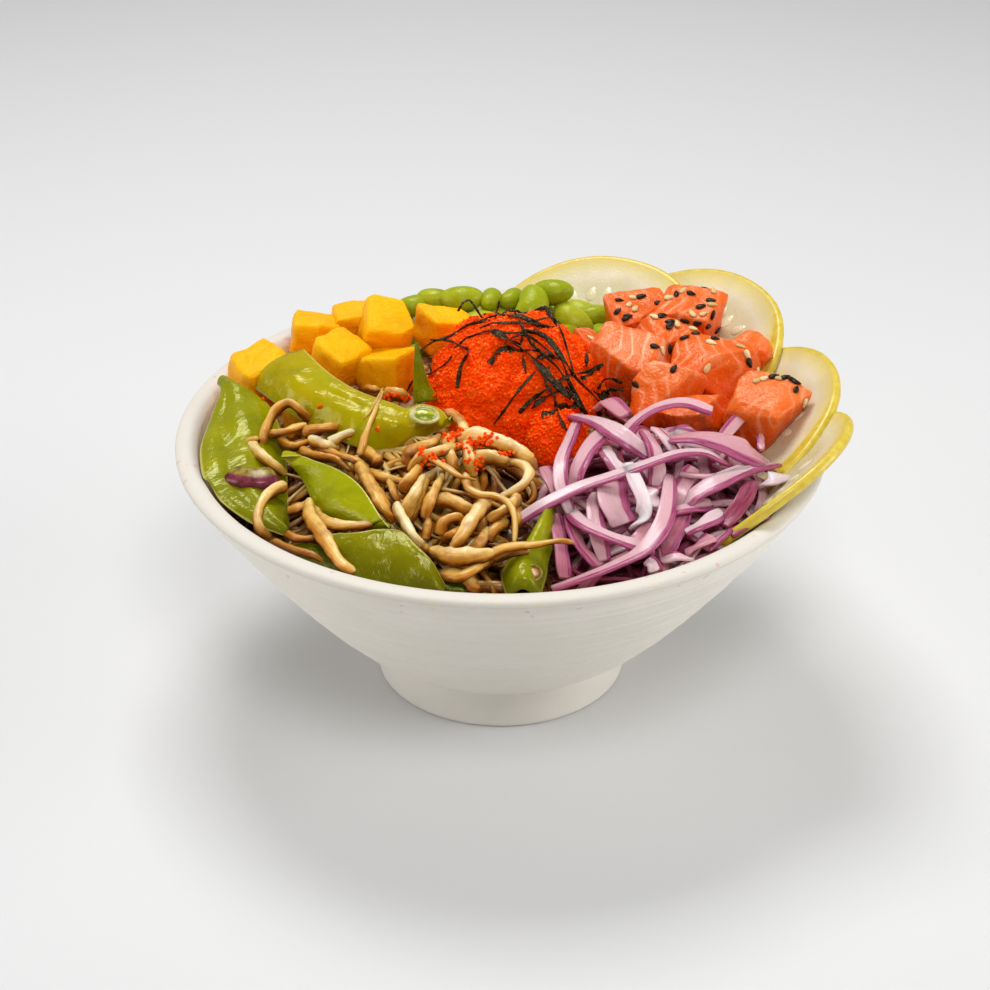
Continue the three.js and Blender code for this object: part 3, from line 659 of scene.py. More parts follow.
# The dice are painted a deeper orange low down, under 80 to 92 mm: painted shade between and under the dice.
low = 1 - place.split()[2].step(0.080, 0.092)
colour = (low * 0.5).mix(colour, "#F48400")
dress(mango, colour, place.noise(400, 2) * 0.25 + 0.24, fibres + place.noise(700, 3) * 0.6, 0.0004)
for k, row in enumerate(MANGO):
    local, turned_by, middle = diced(row, MANGO_RAGGED, MANGO_ROUNDNESS, 11 + k)
    local = facets(local, 4, 0.8, 140 + k)
    torn = MANGO_TORN[k] * np.abs(ripple(local, 10, 70 + k)) + 0.1 * ripple(local, 2.4, 80 + k)
    local = local + cube_ways * (0.28 * ripple(local, 8, 60 + k) - torn)[:, None]
    spots, up = local @ turned_by.T + middle, (cube_ways @ turned_by.T)[:, 2]
    # The facing mark is how far each point faces up, from 0 down to 1 up, for the painted light and shade.
    marks = np.stack([up * 0.5 + 0.5, 0 * up, 0 * up], axis=-1)
    piece = mesh_piece(f"mango_dice_{k + 1}", spots, cube_faces, mango, grain=local, facing=marks)
    serve(piece, "mango", f"mango_{k + 1}")

# The salmon
#
# Raw salmon in rough dice of 18 to 24 mm. Thin white lines of fat run through the flesh between its flakes,
# and the wet faces shine. Black and pale sesame seeds are strewn over the back and right pieces.
SALMON_DICE = 19
SALMON_RAGGED = 2
SALMON_ROUNDNESS = 11
FLAKE = 4.8
SALMON_FAT = (0.5, 0.75, 0.6, 1.0, 0.5, 0.55, 0.5, 0.5, 0.6, 0.4)

# The pieces, in the same order of values as the mango's.
S = SALMON_DICE
SALMON = [
    (43.5, 57, 92.5, S * 1.0, S * 0.92, S * 0.92, 12, 12, -8),
    (60, 52.5, 95.5, S * 1.1, S * 0.95, S * 1.05, -20, 14, 12),
    (51, 43, 93, S * 1.1, S * 0.8, S * 0.85, 10, 24, 6),
    (39.5, 31, 90, S * 1.38, S * 1.05, S * 1.0, -22, 22, 8),
    (25, 45, 85.5, S * 0.62, S * 0.6, S * 0.8, 30, 10, 14),
    (67, 26, 91, S * 1.38, S * 1.08, S * 1.08, -18, 20, 4),
    (79, 36.5, 88.5, S * 0.76, S * 0.7, S * 0.96, -40, 8, 18),
    (78, 2.5, 86.5, S * 1.1, S * 0.98, S * 1.36, -30, 10, 20),
    (50, 13, 88, S * 0.95, S * 0.8, S * 1.15, 20, -14, 30),
    (61, 6, 83.5, S * 1.3, S * 0.92, S * 0.95, -12, 14, -6),
]

salmon, place = new_finish(
    "raw salmon",
    Specular_IOR_Level=0.36,
    Specular_Tint=(1, 0.7, 0.5, 1),
    Subsurface_Weight=0.2,
    Subsurface_Scale=0.0012,
    Subsurface_Radius=(1, 0.45, 0.2),
)
flake, fatty, tone = place.mark("flake").split()
line = (flake + place.noise(90, 2) * 0.35).math("FRACT") - 0.5
away = line.math("ABSOLUTE")
streaky = place.noise(75, 2).step(0.35, 0.62)
fat = (1 - away.step(0.01, 0.2)) * (streaky * 0.46 + 0.06) * fatty
glow = (1 - away.step(0.0, 0.45)) * (streaky * 0.2 + 0.03)
# The third mark, called tone here, is each point's height in its dice: the dice are painted lighter towards
# their tops and darker below, as painted light and shade.
body = tone * 0.7 + place.noise(140, 4) * 0.6 - 0.15
body = body.ramp((0.1, "#D03A00"), (0.45, "#DE4C02"), (0.75, "#E25E12"), (1.0, "#E87636"))
colour = fat.mix(glow.mix(body, "#EE8650"), "#FFC8A0")
# Fine pale specks are painted glints on the wet faces.
colour = (place.noise(1100, 1).step(0.6, 0.72) * 0.3).mix(colour, "#F09C70")
shine = place.noise(260, 4, 0.6)
dress(salmon, colour, shine * 0.4 + 0.1, shine * 0.6 + place.noise(900, 2) * 0.5 - fat * 0.3, 0.0005)
dice = []
for k, row in enumerate(SALMON):
    local, turned_by, middle = diced(row, SALMON_RAGGED, SALMON_ROUNDNESS, 31 + k)
    slant = 0.3 + 0.25 * (k % 3)
    local = facets(local, 9, 0.55, 130 + k)
    slanted = local[:, 0] + slant * np.abs(local[:, 1] + 2) + 0.4 * local[:, 2]
    phase = (slanted + 1.5 * ripple(local, 13, 90 + k)) / FLAKE
    groove = np.exp(-(((phase % 1 - 0.5) / 0.1) ** 2))
    lumps = 0.4 * ripple(local, 10, 100 + k) + 0.07 * ripple(local, 3, 120 + k) - 0.22 * groove
    local = local + cube_ways * lumps[:, None]
    # The height in the dice, from 0 below to 1 above, paints the tops lighter and the bottoms darker.
    up = (local @ turned_by.T)[:, 2] / S + 0.5
    marks = np.stack([phase, SALMON_FAT[k] + 0 * up, up], axis=-1)
    piece = mesh_piece(f"salmon_dice_{k + 1}", local @ turned_by.T + middle, cube_faces, salmon, flake=marks)
    serve(piece, "salmon", f"salmon_{k + 1}")
    dice.append(piece)

# Seeds seen from the front: pixel, heading in degrees, and 1 for a black one.
SESAME = [
    (641, 297, 20, 1), (669, 298, 10, 0), (683, 291, 60, 0), (691, 294, -30, 1), (634, 298, 15, 0),
    (629, 305, 80, 0), (635, 309, 70, 0), (626, 319, 25, 1), (662, 316, 15, 1), (685, 321, 0, 1),
    (670, 326, 55, 1), (677, 324, 100, 0), (692, 314, 100, 0), (701, 307, 15, 1), (711, 301, -30, 1),
    (712, 305, -20, 0), (712, 315, -65, 1), (698, 323, 20, 1), (708, 326, -20, 1), (717, 330, 0, 1),
    (693, 329, -30, 0), (696, 334, -15, 1), (685, 338, 20, 1), (711, 343, -30, 0), (715, 339, -25, 1),
    (655, 347, -30, 1), (662, 351, -45, 0), (669, 349, 80, 1), (707, 368, 65, 0), (674, 369, 60, 1),
    (747, 355, -55, 0), (741, 347, -40, 0), (757, 370, -20, 0), (757, 381, 60, 0), (636, 385, -40, 1),
    (764, 379, 25, 0), (780, 379, -5, 0), (785, 371, 30, 1), (792, 369, 30, 1), (796, 378, -50, 1),
    (796, 390, 70, 1), (804, 403, -60, 0), (802, 421, 75, 1), (749, 363, -60, 1), (774, 377, 20, 1),
]
SESAME_SIZE = np.array([0.95, 0.5, 1.65])
BACK_SEEDS = 30
MOST_LOWERED = 40


def solid_tree(pieces):
    """The faces of pieces as a tree that finds where a line meets them, in millimetres."""
    points, faces, count = [], [], 0
    for piece in pieces:
        mesh = piece.data
        spots = np.empty(len(mesh.vertices) * 3, np.float32)
        corners = np.empty(len(mesh.loops), np.int32)
        mesh.vertices.foreach_get("co", spots)
        mesh.loops.foreach_get("vertex_index", corners)
        points.append(spots.reshape(-1, 3) / MM)
        faces.append(corners.reshape(-1, 3) + count)
        count += len(mesh.vertices)
    return BVHTree.FromPolygons(np.concatenate(points).tolist(), np.concatenate(faces).tolist())


def landed(u, v, tree):
    """Where the line of sight through a pixel meets a tree, and the way the surface faces there. A line that
    passes just over the piece is lowered pixel by pixel until it meets it."""
    for lower in range(MOST_LOWERED):
        spot, facing, _, _ = tree.ray_cast(eye.tolist(), sight_ways(u, v + lower)[0].tolist())
        if spot is not None:
            return np.array(spot), np.array(facing)
    return None


def drop_piece(name, centres, frames, radii, rows, around, material, taper=0.0, **marks):
    """A piece of many small drops, with one mark for each: the rings and the two poles of a ball, stretched
    by three radii and turned by a frame whose columns are the ways of x, y and z."""
    unit = np.concatenate([ball_rings(rows, around, taper).reshape(-1, 3), [[0, 0, 1], [0, 0, -1]]])
    sized = unit[None] * np.reshape(radii, (-1, 1, 3))
    points = (centres[:, None] + np.einsum("nka,nba->nkb", sized, frames)).reshape(-1, 3)
    repeated = {mark: np.repeat(values, len(unit), axis=0) for mark, values in marks.items()}
    return mesh_piece(name, points, ring_faces(len(centres), rows, around), material, **repeated)


def laid_frames(facings, headings):
    """Frames of flat drops: y is the way out of the surface, and z lies in it, turned by a heading from the
    right of the view."""
    out = facings / np.linalg.norm(facings, axis=1, keepdims=True)
    ways = np.outer(np.cos(headings), right) + np.outer(np.sin(headings), above)
    along = ways - (ways * out).sum(axis=1, keepdims=True) * out
    along /= np.linalg.norm(along, axis=1, keepdims=True)
    return np.stack([np.cross(out, along), out, along], axis=-1)


salmon_tree = solid_tree(dice)
draw = np.random.default_rng(7)
found = [(landed(u, v, salmon_tree), math.radians(heading), dark) for u, v, heading, dark in SESAME]
seeds = [(*hit, heading, dark) for hit, heading, dark in found if hit]
for _ in range(BACK_SEEDS):
    over = [draw.uniform(28, 92), draw.uniform(38, 68), 130]
    spot, facing, _, _ = salmon_tree.ray_cast(over, [0, 0, -1])
    if spot is not None:
        seeds.append((np.array(spot), np.array(facing), draw.uniform(0, math.pi), draw.integers(2)))
spots, facings = np.array([row[0] for row in seeds]), np.array([row[1] for row in seeds])
dark = np.array([row[3] for row in seeds], float)
marks = np.stack([dark, draw.uniform(0, 1, len(seeds)), dark], axis=-1)
frames = laid_frames(facings, np.array([row[2] for row in seeds]))

sesame, place = new_finish("sesame", Specular_IOR_Level=0.3, Specular_Tint=(1, 0.85, 0.7, 1))
black, tone, _ = place.mark("hull").split()
pale = (tone * 0.6 + place.noise(900, 2) * 0.5).ramp((0.2, "#C79F60"), (0.6, "#DFC48C"), (0.9, "#EBD8A8"))
dark_hull = place.noise(700, 3).ramp((0.35, "#0C0704"), (0.7, "#24160C"))
dress(sesame, black.mix(pale, dark_hull), place.noise(500, 1) * 0.2 + 0.3, place.noise(1400, 2), 0.0002)
centres, sizes = spots + facings * 0.35, SESAME_SIZE * draw.uniform(0.9, 1.12, (len(seeds), 1))
strewn = drop_piece("sesame_seeds", centres, frames, sizes, 7, 10, sesame, taper=0.3, hull=marks)
serve(strewn, "salmon")

# The soybeans
#
# Shelled green soybeans, heaped at the back between mango and salmon: smooth glossy ovals of 12 to 15 mm, a
# little bent, with the scar of the stalk on the hollow side. The heap is beans all through.
BEAN_LENGTH = 13

# Each bean: its middle, its heading and tilt in degrees, and its size.
BEANS = [
    (-29, 73, 91.5, 20, 5, 0.95), (-22, 75, 93, -10, 0, 0.95), (-13, 72, 94.5, 5, 0, 1.15),
    (-4, 73, 93.5, 80, 0, 0.9), (3, 75, 93, 60, 0, 0.85), (9, 66, 94.5, 75, 25, 1.3),
    (17, 75, 95.5, -20, 10, 1.15), (24, 68, 89, -40, -20, 1.2), (31, 73, 88, 10, 0, 0.95),
    (34, 64, 85, -60, 0, 0.9), (20, 60, 87, 20, 0, 0.95), (-7, 63, 90.5, 10, 0, 1),
    (-20, 82, 86, -15, -10, 1), (13, 84, 88, 5, -15, 1.05), (27, 80, 86, -20, -10, 1),
    (-35, 78, 85, 15, -5, 0.9),
]


def bean_heap_top(x, y):
    """Height of the heap of beans: two parabolas, the steeper one towards the back wall."""
    return 92 - 0.009 * (x - 2) ** 2 - 0.03 * np.maximum(0, y - 72) ** 2


def beans(rows, lat, lon):
    """Rings of beans: an oval with half axes h, 0.66 h and 0.58 h about x, bent by 0.14 h (1 - (x / h)^2) and
    dented at the scar, then tilted and turned to its heading."""
    h = (BEAN_LENGTH / 2 * rows[:, 5])[:, None, None]
    x = h * np.cos(lat) + 0 * lon
    scar = 0.16 * np.exp(-((x / (0.28 * h)) ** 2)) * np.clip(np.cos(lon), 0, 1) ** 4
    y = 0.66 * h * np.sin(lat) * np.cos(lon) - h * (0.14 * (1 - (x / h) ** 2) + scar)
    z = 0.58 * h * np.sin(lat) * np.sin(lon)
    heading, tilt = np.radians(rows[:, 3])[:, None, None], np.radians(rows[:, 4])[:, None, None]
    x, z = x * np.cos(tilt) - z * np.sin(tilt), x * np.sin(tilt) + z * np.cos(tilt)
    x, y = x * np.cos(heading) - y * np.sin(heading), x * np.sin(heading) + y * np.cos(heading)
    return np.stack([x, y, z], axis=-1) + rows[:, None, None, :3]


soybean, place = new_finish(
    "green soybean",
    Specular_IOR_Level=0.3,
    Specular_Tint=(1, 1, 0.5, 1),
    Subsurface_Weight=0.25,
    Subsurface_Scale=0.003,
    Subsurface_Radius=(0.6, 1, 0.2),
)
tone, scar, _ = place.mark("bean").split()
body = place.noise(130, 3) * 0.6 + tone * 0.3 + 0.1
body = body.ramp((0.25, "#7C8C0A"), (0.5, "#98A210"), (0.8, "#B6B828"))
colour = (scar * 0.5).mix(body, "#BDBB60")
dress(soybean, colour, place.noise(300, 2) * 0.3 + 0.2, place.noise(350, 3) + place.noise(90, 1) * 2, 0.0004)

# The beans that don't show lie in two layers of uneven rows, clear of those that do and of the sixth mango.
draw = np.random.default_rng(13)
filling = []
for layer, depth in enumerate((4.5, 10.5)):
    for gx in np.arange(-31, 34, 9.2):
        for gy in np.arange(55, 88, 7.2):
            x, y = gx + draw.uniform(-2, 2) + 4 * layer, gy + draw.uniform(-1.5, 1.5) + 3 * layer
            z = bean_heap_top(x, y) - depth
            inside = ((x + 1) / 35) ** 2 + ((y - 70) / 18) ** 2 < 1 and math.hypot(x, y) < 86
            clear = min((x - row[0]) ** 2 + (y - row[1]) ** 2 + (z - row[2]) ** 2 for row in BEANS) > 36
            if inside and clear and math.hypot(x + 19, y - 58) > 11:
                turned_so = draw.uniform(0, 180), draw.uniform(-25, 25), draw.uniform(0.85, 1.05)
                filling.append((x, y, z, *turned_so))
rows = np.array(BEANS + filling)
lat = np.linspace(0.1, np.pi - 0.1, 13)[:, None]
lon = np.linspace(0, 2 * np.pi, 20, endpoint=False)
scar = np.exp(-((np.cos(lat) / 0.25) ** 2)) * np.clip(np.cos(lon), 0, 1) ** 12
tone = draw.uniform(0, 1, (len(rows), 1, 1)) + 0 * scar
marks = np.stack([tone, scar + 0 * tone, 0 * tone], axis=-1)
serve(ring_piece("soybeans", beans(rows, lat, lon), soybean, bean=marks), "soybean", "soybean_heap")

# The roe and the seaweed
#
# A scoop of orange fish roe, wet eggs of 1 mm stuck together in lumps, with a smaller lump at its foot. Over
# it lie strips of dried seaweed, shredded with scissors, black and curled.
ROE_X, ROE_Y, ROE_RADIUS, ROE_TOP = 4, 27, 28, 107
ROE_FULLNESS = 0.8
ROE_CLUMP = (17, -5, 84, 8.6)
EGG = 0.58
EGGS, CLUMP_EGGS = 6300, 900


def lumpy(points):
    """The lumps of the roe: |wave| of 15 and of 6 mm, round above and creased where the waves are 0."""
    return 2.8 * np.abs(ripple(points, 15, 150)) + 1.5 * np.abs(ripple(points, 6, 151)) - 2


def on_roe(q, turn):
    """Places on the lumpy scoop at an angle q up its side (0 at the edge, a right angle at the top) and a
    turn about it, and the ways out of it. The smooth scoop has the share cos q of its radius and sin(q)^0.8
    of its height, and the way out is the cross product of its two slopes."""

    def smooth(q, turn):
        x = ROE_X + ROE_RADIUS * np.cos(q) * np.cos(turn)
        y = ROE_Y + ROE_RADIUS * np.cos(q) * np.sin(turn)
        foot = bed_height(x, y) - 1
        return np.stack([x, y, foot + (ROE_TOP - foot) * np.abs(np.sin(q)) ** ROE_FULLNESS], axis=-1)

    h = 1e-3
    around = smooth(q, turn + h) - smooth(q, turn - h)
    out = np.cross(around, smooth(q + h, turn) - smooth(q - h, turn))
    out /= np.linalg.norm(out, axis=-1, keepdims=True)
    spots = smooth(q, turn)
    return spots + out * lumpy(spots)[..., None], out


def spiral(count):
    """Turns of evenly spread points: each is a golden angle, pi (3 - sqrt 5), on from the last."""
    return np.arange(count) * math.pi * (3 - math.sqrt(5))


def clump_places(ways, sunk=0.0):
    """Places on the smaller lump: middle + way (radius - sunk + 0.8 times a ripple of 6 mm)."""
    x, y, z, radius = ROE_CLUMP
    return np.array([x, y, z]) + ways * (radius - sunk + 0.8 * ripple(ways * radius, 6, 152))[..., None]


def strew_eggs(name, centres, least, most, rows, around, draw):
    """A piece of eggs between two sizes, turned at random, each with a tone of its own."""
    sizes = EGG * draw.uniform(least, most, (len(centres), 1)) * [1, 1, 1]
    tones = draw.uniform(0, 1, (len(centres), 1)) * [1, 1, 1]
    frames = random_frames(len(centres), draw)
    serve(drop_piece(name, centres, frames, sizes, rows, around, roe, egg=tones), "roe")


roe, place = new_finish(
    "fish roe",
    Roughness=0.28,
    Specular_IOR_Level=0.25,
    Specular_Tint=(1, 0.5, 0.2, 1),
    # The eggs glow a little, a painted light for their brightness.
    Emission_Color=(1, 0.06, 0, 1),
    Emission_Strength=0.09,
    Subsurface_Weight=0.5,
    Subsurface_Scale=0.002,
    Subsurface_Radius=(1, 0.25, 0.08),
)
tone, _, _ = place.mark("egg").split()
colour = tone * 0.7 + place.noise(260, 2) * 0.4
colour = colour.ramp((0.15, "#FC3A00"), (0.55, "#FF4C00"), (0.85, "#FF6406"), (0.98, "#FF9E44"))
dress(roe, colour, relief=place.noise(1500, 1), depth=0.0002)

# The scoop and the lump are smooth bodies just under their eggs. The scoop's foot is drawn in by a 25th.
q = np.linspace(0.04, np.pi / 2 - 0.02, 46)
dome, out = on_roe(*np.meshgrid(q, np.linspace(0, 2 * np.pi, 120, endpoint=False), indexing="ij"))
dome = dome - 0.1 * out
foot = dome[:1] * [0.96, 0.96, 0] + [0.04 * ROE_X, 0.04 * ROE_Y, 74]
serve(ring_piece("roe_scoop", np.concatenate([foot, dome])[None], roe, egg=0.4), "roe", "roe_mound")
lat = np.linspace(0.08, np.pi - 0.08, 18)[:, None]
turn = np.linspace(0, 2 * np.pi, 36, endpoint=False)
ball = np.stack([np.sin(lat) * np.cos(turn), np.sin(lat) * np.sin(turn), np.cos(lat) + 0 * turn], axis=-1)
serve(ring_piece("roe_lump", clump_places(ball, 0.3)[None], roe, egg=0.4), "roe")

# The eggs keep equal areas: the scoop's own area up to each q gives how many lie below it.
draw = np.random.default_rng(17)
q = np.linspace(0.02, np.pi / 2, 400)
profile = np.stack([ROE_RADIUS * np.cos(q), (ROE_TOP - 79) * np.sin(q) ** ROE_FULLNESS], axis=-1)
steps = np.linalg.norm(np.diff(profile, axis=0), axis=1) * (profile[1:, 0] + profile[:-1, 0])
area = np.concatenate([[0], np.cumsum(steps)]) / steps.sum()
rise = np.interp((np.arange(EGGS) + 0.5) / EGGS, area, q) + draw.normal(0, 0.014, EGGS)
spots, out = on_roe(rise, spiral(EGGS) + draw.normal(0, 0.35, EGGS) / (ROE_RADIUS * np.cos(rise) + 1))
spots += out * draw.uniform(-0.35, 0.18, (EGGS, 1))
rise, turn = 1 - 2 * (np.arange(CLUMP_EGGS) + 0.5) / CLUMP_EGGS, spiral(CLUMP_EGGS)
level = np.sqrt(1 - rise**2)
ball = np.stack([level * np.cos(turn), level * np.sin(turn), rise], -1)
ball += draw.normal(0, 0.03, ball.shape)
strew_eggs("roe_eggs", np.concatenate([spots, clump_places(ball)]), 0.85, 1.15, 2, 5, draw)

# Strips seen from the front: pixels with their height over what they lie on, and half the width.
SEAWEED = [
    ([(480, 321, 1), (496, 316, 1.5), (519, 316, 2), (539, 325, 1.5), (553, 327, 1)], 0.9),
    ([(417, 354, 2), (431, 343, 1), (450, 336, 1), (468, 325, 1), (490, 320, 1)], 0.5),
    ([(431, 340, 1), (446, 340, 1.5), (465, 348, 1.5), (468, 353, 1.5), (461, 366, 1.2), (457, 388, 1)], 0.8),
    ([(493, 331, 1), (509, 340, 2), (531, 356, 3), (551, 379, 3.5), (571, 398, 3)], 1.3),
    ([(455, 348, 1), (468, 338, 1), (490, 331, 1.2), (506, 338, 1.5), (521, 345, 1)], 0.6),
    ([(523, 330, 2), (543, 336, 3), (556, 350, 3.5), (564, 366, 4), (571, 386, 4), (587, 414, 3)], 0.8),
    ([(533, 330, 2), (549, 340, 4), (566, 363, 5), (577, 379, 5), (597, 399, 5), (611, 417, 4)], 0.9),
    ([(494, 424, 1), (506, 408, 1.2), (518, 391, 1.5), (536, 371, 2)], 0.55),
    ([(519, 413, 1), (534, 398, 2), (553, 385, 3), (571, 375, 4), (589, 371, 5), (603, 364, 5)], 0.8),
    ([(532, 408, 1), (544, 398, 1.5), (559, 391, 2)], 0.9),
    ([(542, 417, 1), (554, 410, 2), (569, 406, 3), (579, 404, 3)], 1.8),
    ([(554, 393, 2), (557, 409, 2), (564, 426, 2), (570, 432, 1)], 0.7),
    ([(566, 386, 4), (576, 399, 4), (586, 416, 3)], 0.8),
    ([(536, 358, 2), (549, 356, 3), (559, 359, 3)], 1.0),
    ([(470, 300, 4), (475, 307, 3), (482, 318, 1)], 0.4),
    ([(458, 311, 3), (464, 302, 5), (470, 300, 5)], 0.4),
    ([(493, 318, 1), (498, 308, 4), (499, 301, 5)], 0.45),
    ([(533, 321, 2), (553, 318, 4), (562, 333, 5), (569, 356, 6), (574, 374, 5)], 0.45),
    ([(490, 364, 1), (496, 353, 1.2), (514, 349, 1.5)], 1.4),
    ([(523, 356, 1.5), (524, 363, 2), (526, 373, 1)], 0.5),
    ([(429, 364, 1), (431, 373, 2), (422, 375, 3), (413, 381, 3), (407, 391, 2)], 0.35),
    ([(430, 374, 1), (445, 364, 1), (452, 356, 1)], 0.35),
    ([(587, 351, 5), (587, 358, 6), (586, 366, 5)], 0.7),
    ([(598, 389, 3), (604, 380, 4), (612, 379, 4), (622, 383, 3)], 0.6),
    ([(601, 398, 3), (609, 391, 4), (624, 389, 4)], 1.2),
    ([(581, 379, 4), (594, 371, 5), (603, 364, 5)], 1.1),
    ([(596, 408, 4), (601, 418, 3)], 0.8),
    ([(594, 391, 5), (604, 401, 5), (611, 419, 4)], 0.8),
    ([(493, 330, 1), (509, 333, 2), (523, 333, 2), (539, 343, 2), (554, 356, 3)], 0.5),
    ([(504, 343, 2), (516, 350, 2), (531, 350, 2.5), (546, 353, 3)], 0.5),
    ([(480, 328, 1), (493, 323, 1.5), (506, 323, 2), (523, 323, 2), (549, 326, 2)], 0.5),
    ([(519, 320, 2), (523, 330, 3), (521, 343, 2)], 0.5),
    ([(511, 338, 2), (524, 335, 3), (534, 346, 3), (556, 366, 4), (566, 381, 4)], 0.6),
    ([(549, 366, 4), (546, 383, 3), (556, 398, 3)], 0.5),
]
BACK_STRIPS = 14
STRIP_ROWS = 44
STRIP_THICK = 0.22


def framed(paths, roll=0.0):
    """Ways across and through a strip along paths (rows, along, 3): across = along x up, turned by a roll."""
    along = np.gradient(paths, axis=1)
    along /= np.linalg.norm(along, axis=-1, keepdims=True)
    side = np.cross(along, [0, 0, 1.0])
    side /= np.linalg.norm(side, axis=-1, keepdims=True) + 1e-9
    over = np.cross(side, along)
    roll = np.asarray(roll)[..., None]
    c, s = np.cos(roll), np.sin(roll)
    return side * c + over * s, over * c - side * s


def swept(paths, section, wide, thick, roll=0.0):
    """Rings of a section (x, z) carried along paths: point + across x wide + through z thick."""
    across, through = framed(paths, roll)
    x, z = section.T[:, None, None, :]
    side = across[:, :, None] * (x * wide[..., None])[..., None]
    return paths[:, :, None] + side + through[:, :, None] * (z * thick[..., None])[..., None]


def oval_section(around, squareness):
    """Points of a rounded box section: (|cos|^e, |sin|^e) with their signs, e = 2 / squareness."""
    turn = (np.arange(around) + 0.5) / around * 2 * np.pi
    wave = np.stack([np.cos(turn), np.sin(turn)], axis=-1)
    return np.sign(wave) * np.abs(wave) ** (2 / squareness)


def draped(rows, tree, count):
    """Paths of strips on what carries them: the lines of sight along each strip meet the tree, their lengths
    are smoothed, and each place is moved towards the eye by its height."""
    paths = []
    for knots in rows:
        u, v, lift = through(knots, count).T
        hits = [landed(a, b, tree) for a, b in zip(u, v)]
        met = np.array([hit is not None for hit in hits])
        length = np.array([np.linalg.norm(hit[0] - eye) if hit is not None else 0 for hit in hits])
        length = np.interp(np.arange(count), np.flatnonzero(met), length[met])
        near = np.array([length[max(0, k - 2) : k + 3].min() for k in range(count)])
        near = np.convolve(np.pad(near, 3, mode="edge"), np.ones(7) / 7, mode="valid")
        ways = sight_ways(u, v)
        ways /= np.linalg.norm(ways, axis=1, keepdims=True)
        paths.append(eye + ways * (near - lift)[:, None])
    return np.array(paths)


seaweed, place = new_finish("dried seaweed", Specular_IOR_Level=0.4, Specular_Tint=(1, 0.85, 0.55, 1))
weave_and_glints = place.noise(700, 4, 0.65)
# The highest parts of the weave are painted olive-brown: painted glints on the black weed.
colour = weave_and_glints.ramp((0.35, "#0A0702"), (0.55, "#1E180A"), (0.7, "#6A5A30"))
dress(seaweed, colour, place.noise(400, 2) * 0.3 + 0.05, weave_and_glints, 0.0008)
carried = solid_tree([bpy.data.objects[name] for name in ("roe_scoop", "roe_lump")] + dice)
along = np.linspace(0, 1, STRIP_ROWS)
draw = np.random.default_rng(19)
least, most = [0.7, -0.7, 0.5, -0.5], [2.4, 0.7, 1.1, 0.6]
start, span, rise, climb = draw.uniform(least, most, (BACK_STRIPS, 4)).T[..., None]
behind, out = on_roe(rise + climb * along, start + span * along + 0.15 * np.sin(9 * along + 5 * span))
behind = behind + out * (0.5 + 0.5 * np.sin(6 * along + 9 * rise) ** 2)[..., None]
paths = np.concatenate([draped([row[0] for row in SEAWEED], carried, STRIP_ROWS), behind])
half = np.concatenate([[row[1] for row in SEAWEED], draw.uniform(0.4, 1.0, BACK_STRIPS)])[:, None]
width = half * (1 - 0.3 * np.abs(2 * along - 1) ** 8)
width = width * (1 + 0.1 * np.sin(along * 31) + 0.08 * np.sin(along * 57 + half * 9))
number = np.arange(len(paths))[:, None]
twist = 0.9 * np.sin(along * 7 + number * 1.7) + 0.5 * (number % 3)
rings = swept(paths, oval_section(8, 4.0), width, STRIP_THICK + 0 * width, twist)
serve(ring_piece("seaweed_strips", rings, seaweed), "roe")

# The red onion
#
# Raw red onion cut lengthwise into shreds, heaped at the front right. Each shred is a slice through one
# layer: pale lilac and wet inside, with a purple skin along its one edge. Fuller shreds lie on a tangle.
SHRED_ROWS, TANGLE_ROWS = 56, 40
SHRED_THICK, THIN_SHRED_THICK = 0.62, 0.6
SHRED_SWELLS = [(52, -24, 9, 24), (-18, -28, 7, 20), (-62, 4, 6, 18)]
ONION_OVAL = (49, -41, 37, 44)
ONION_LAYERS = ((14, 0.3), (34, 2), (44, 4.5), (44, 7.5))
ONION_CORE_DEPTH = 7

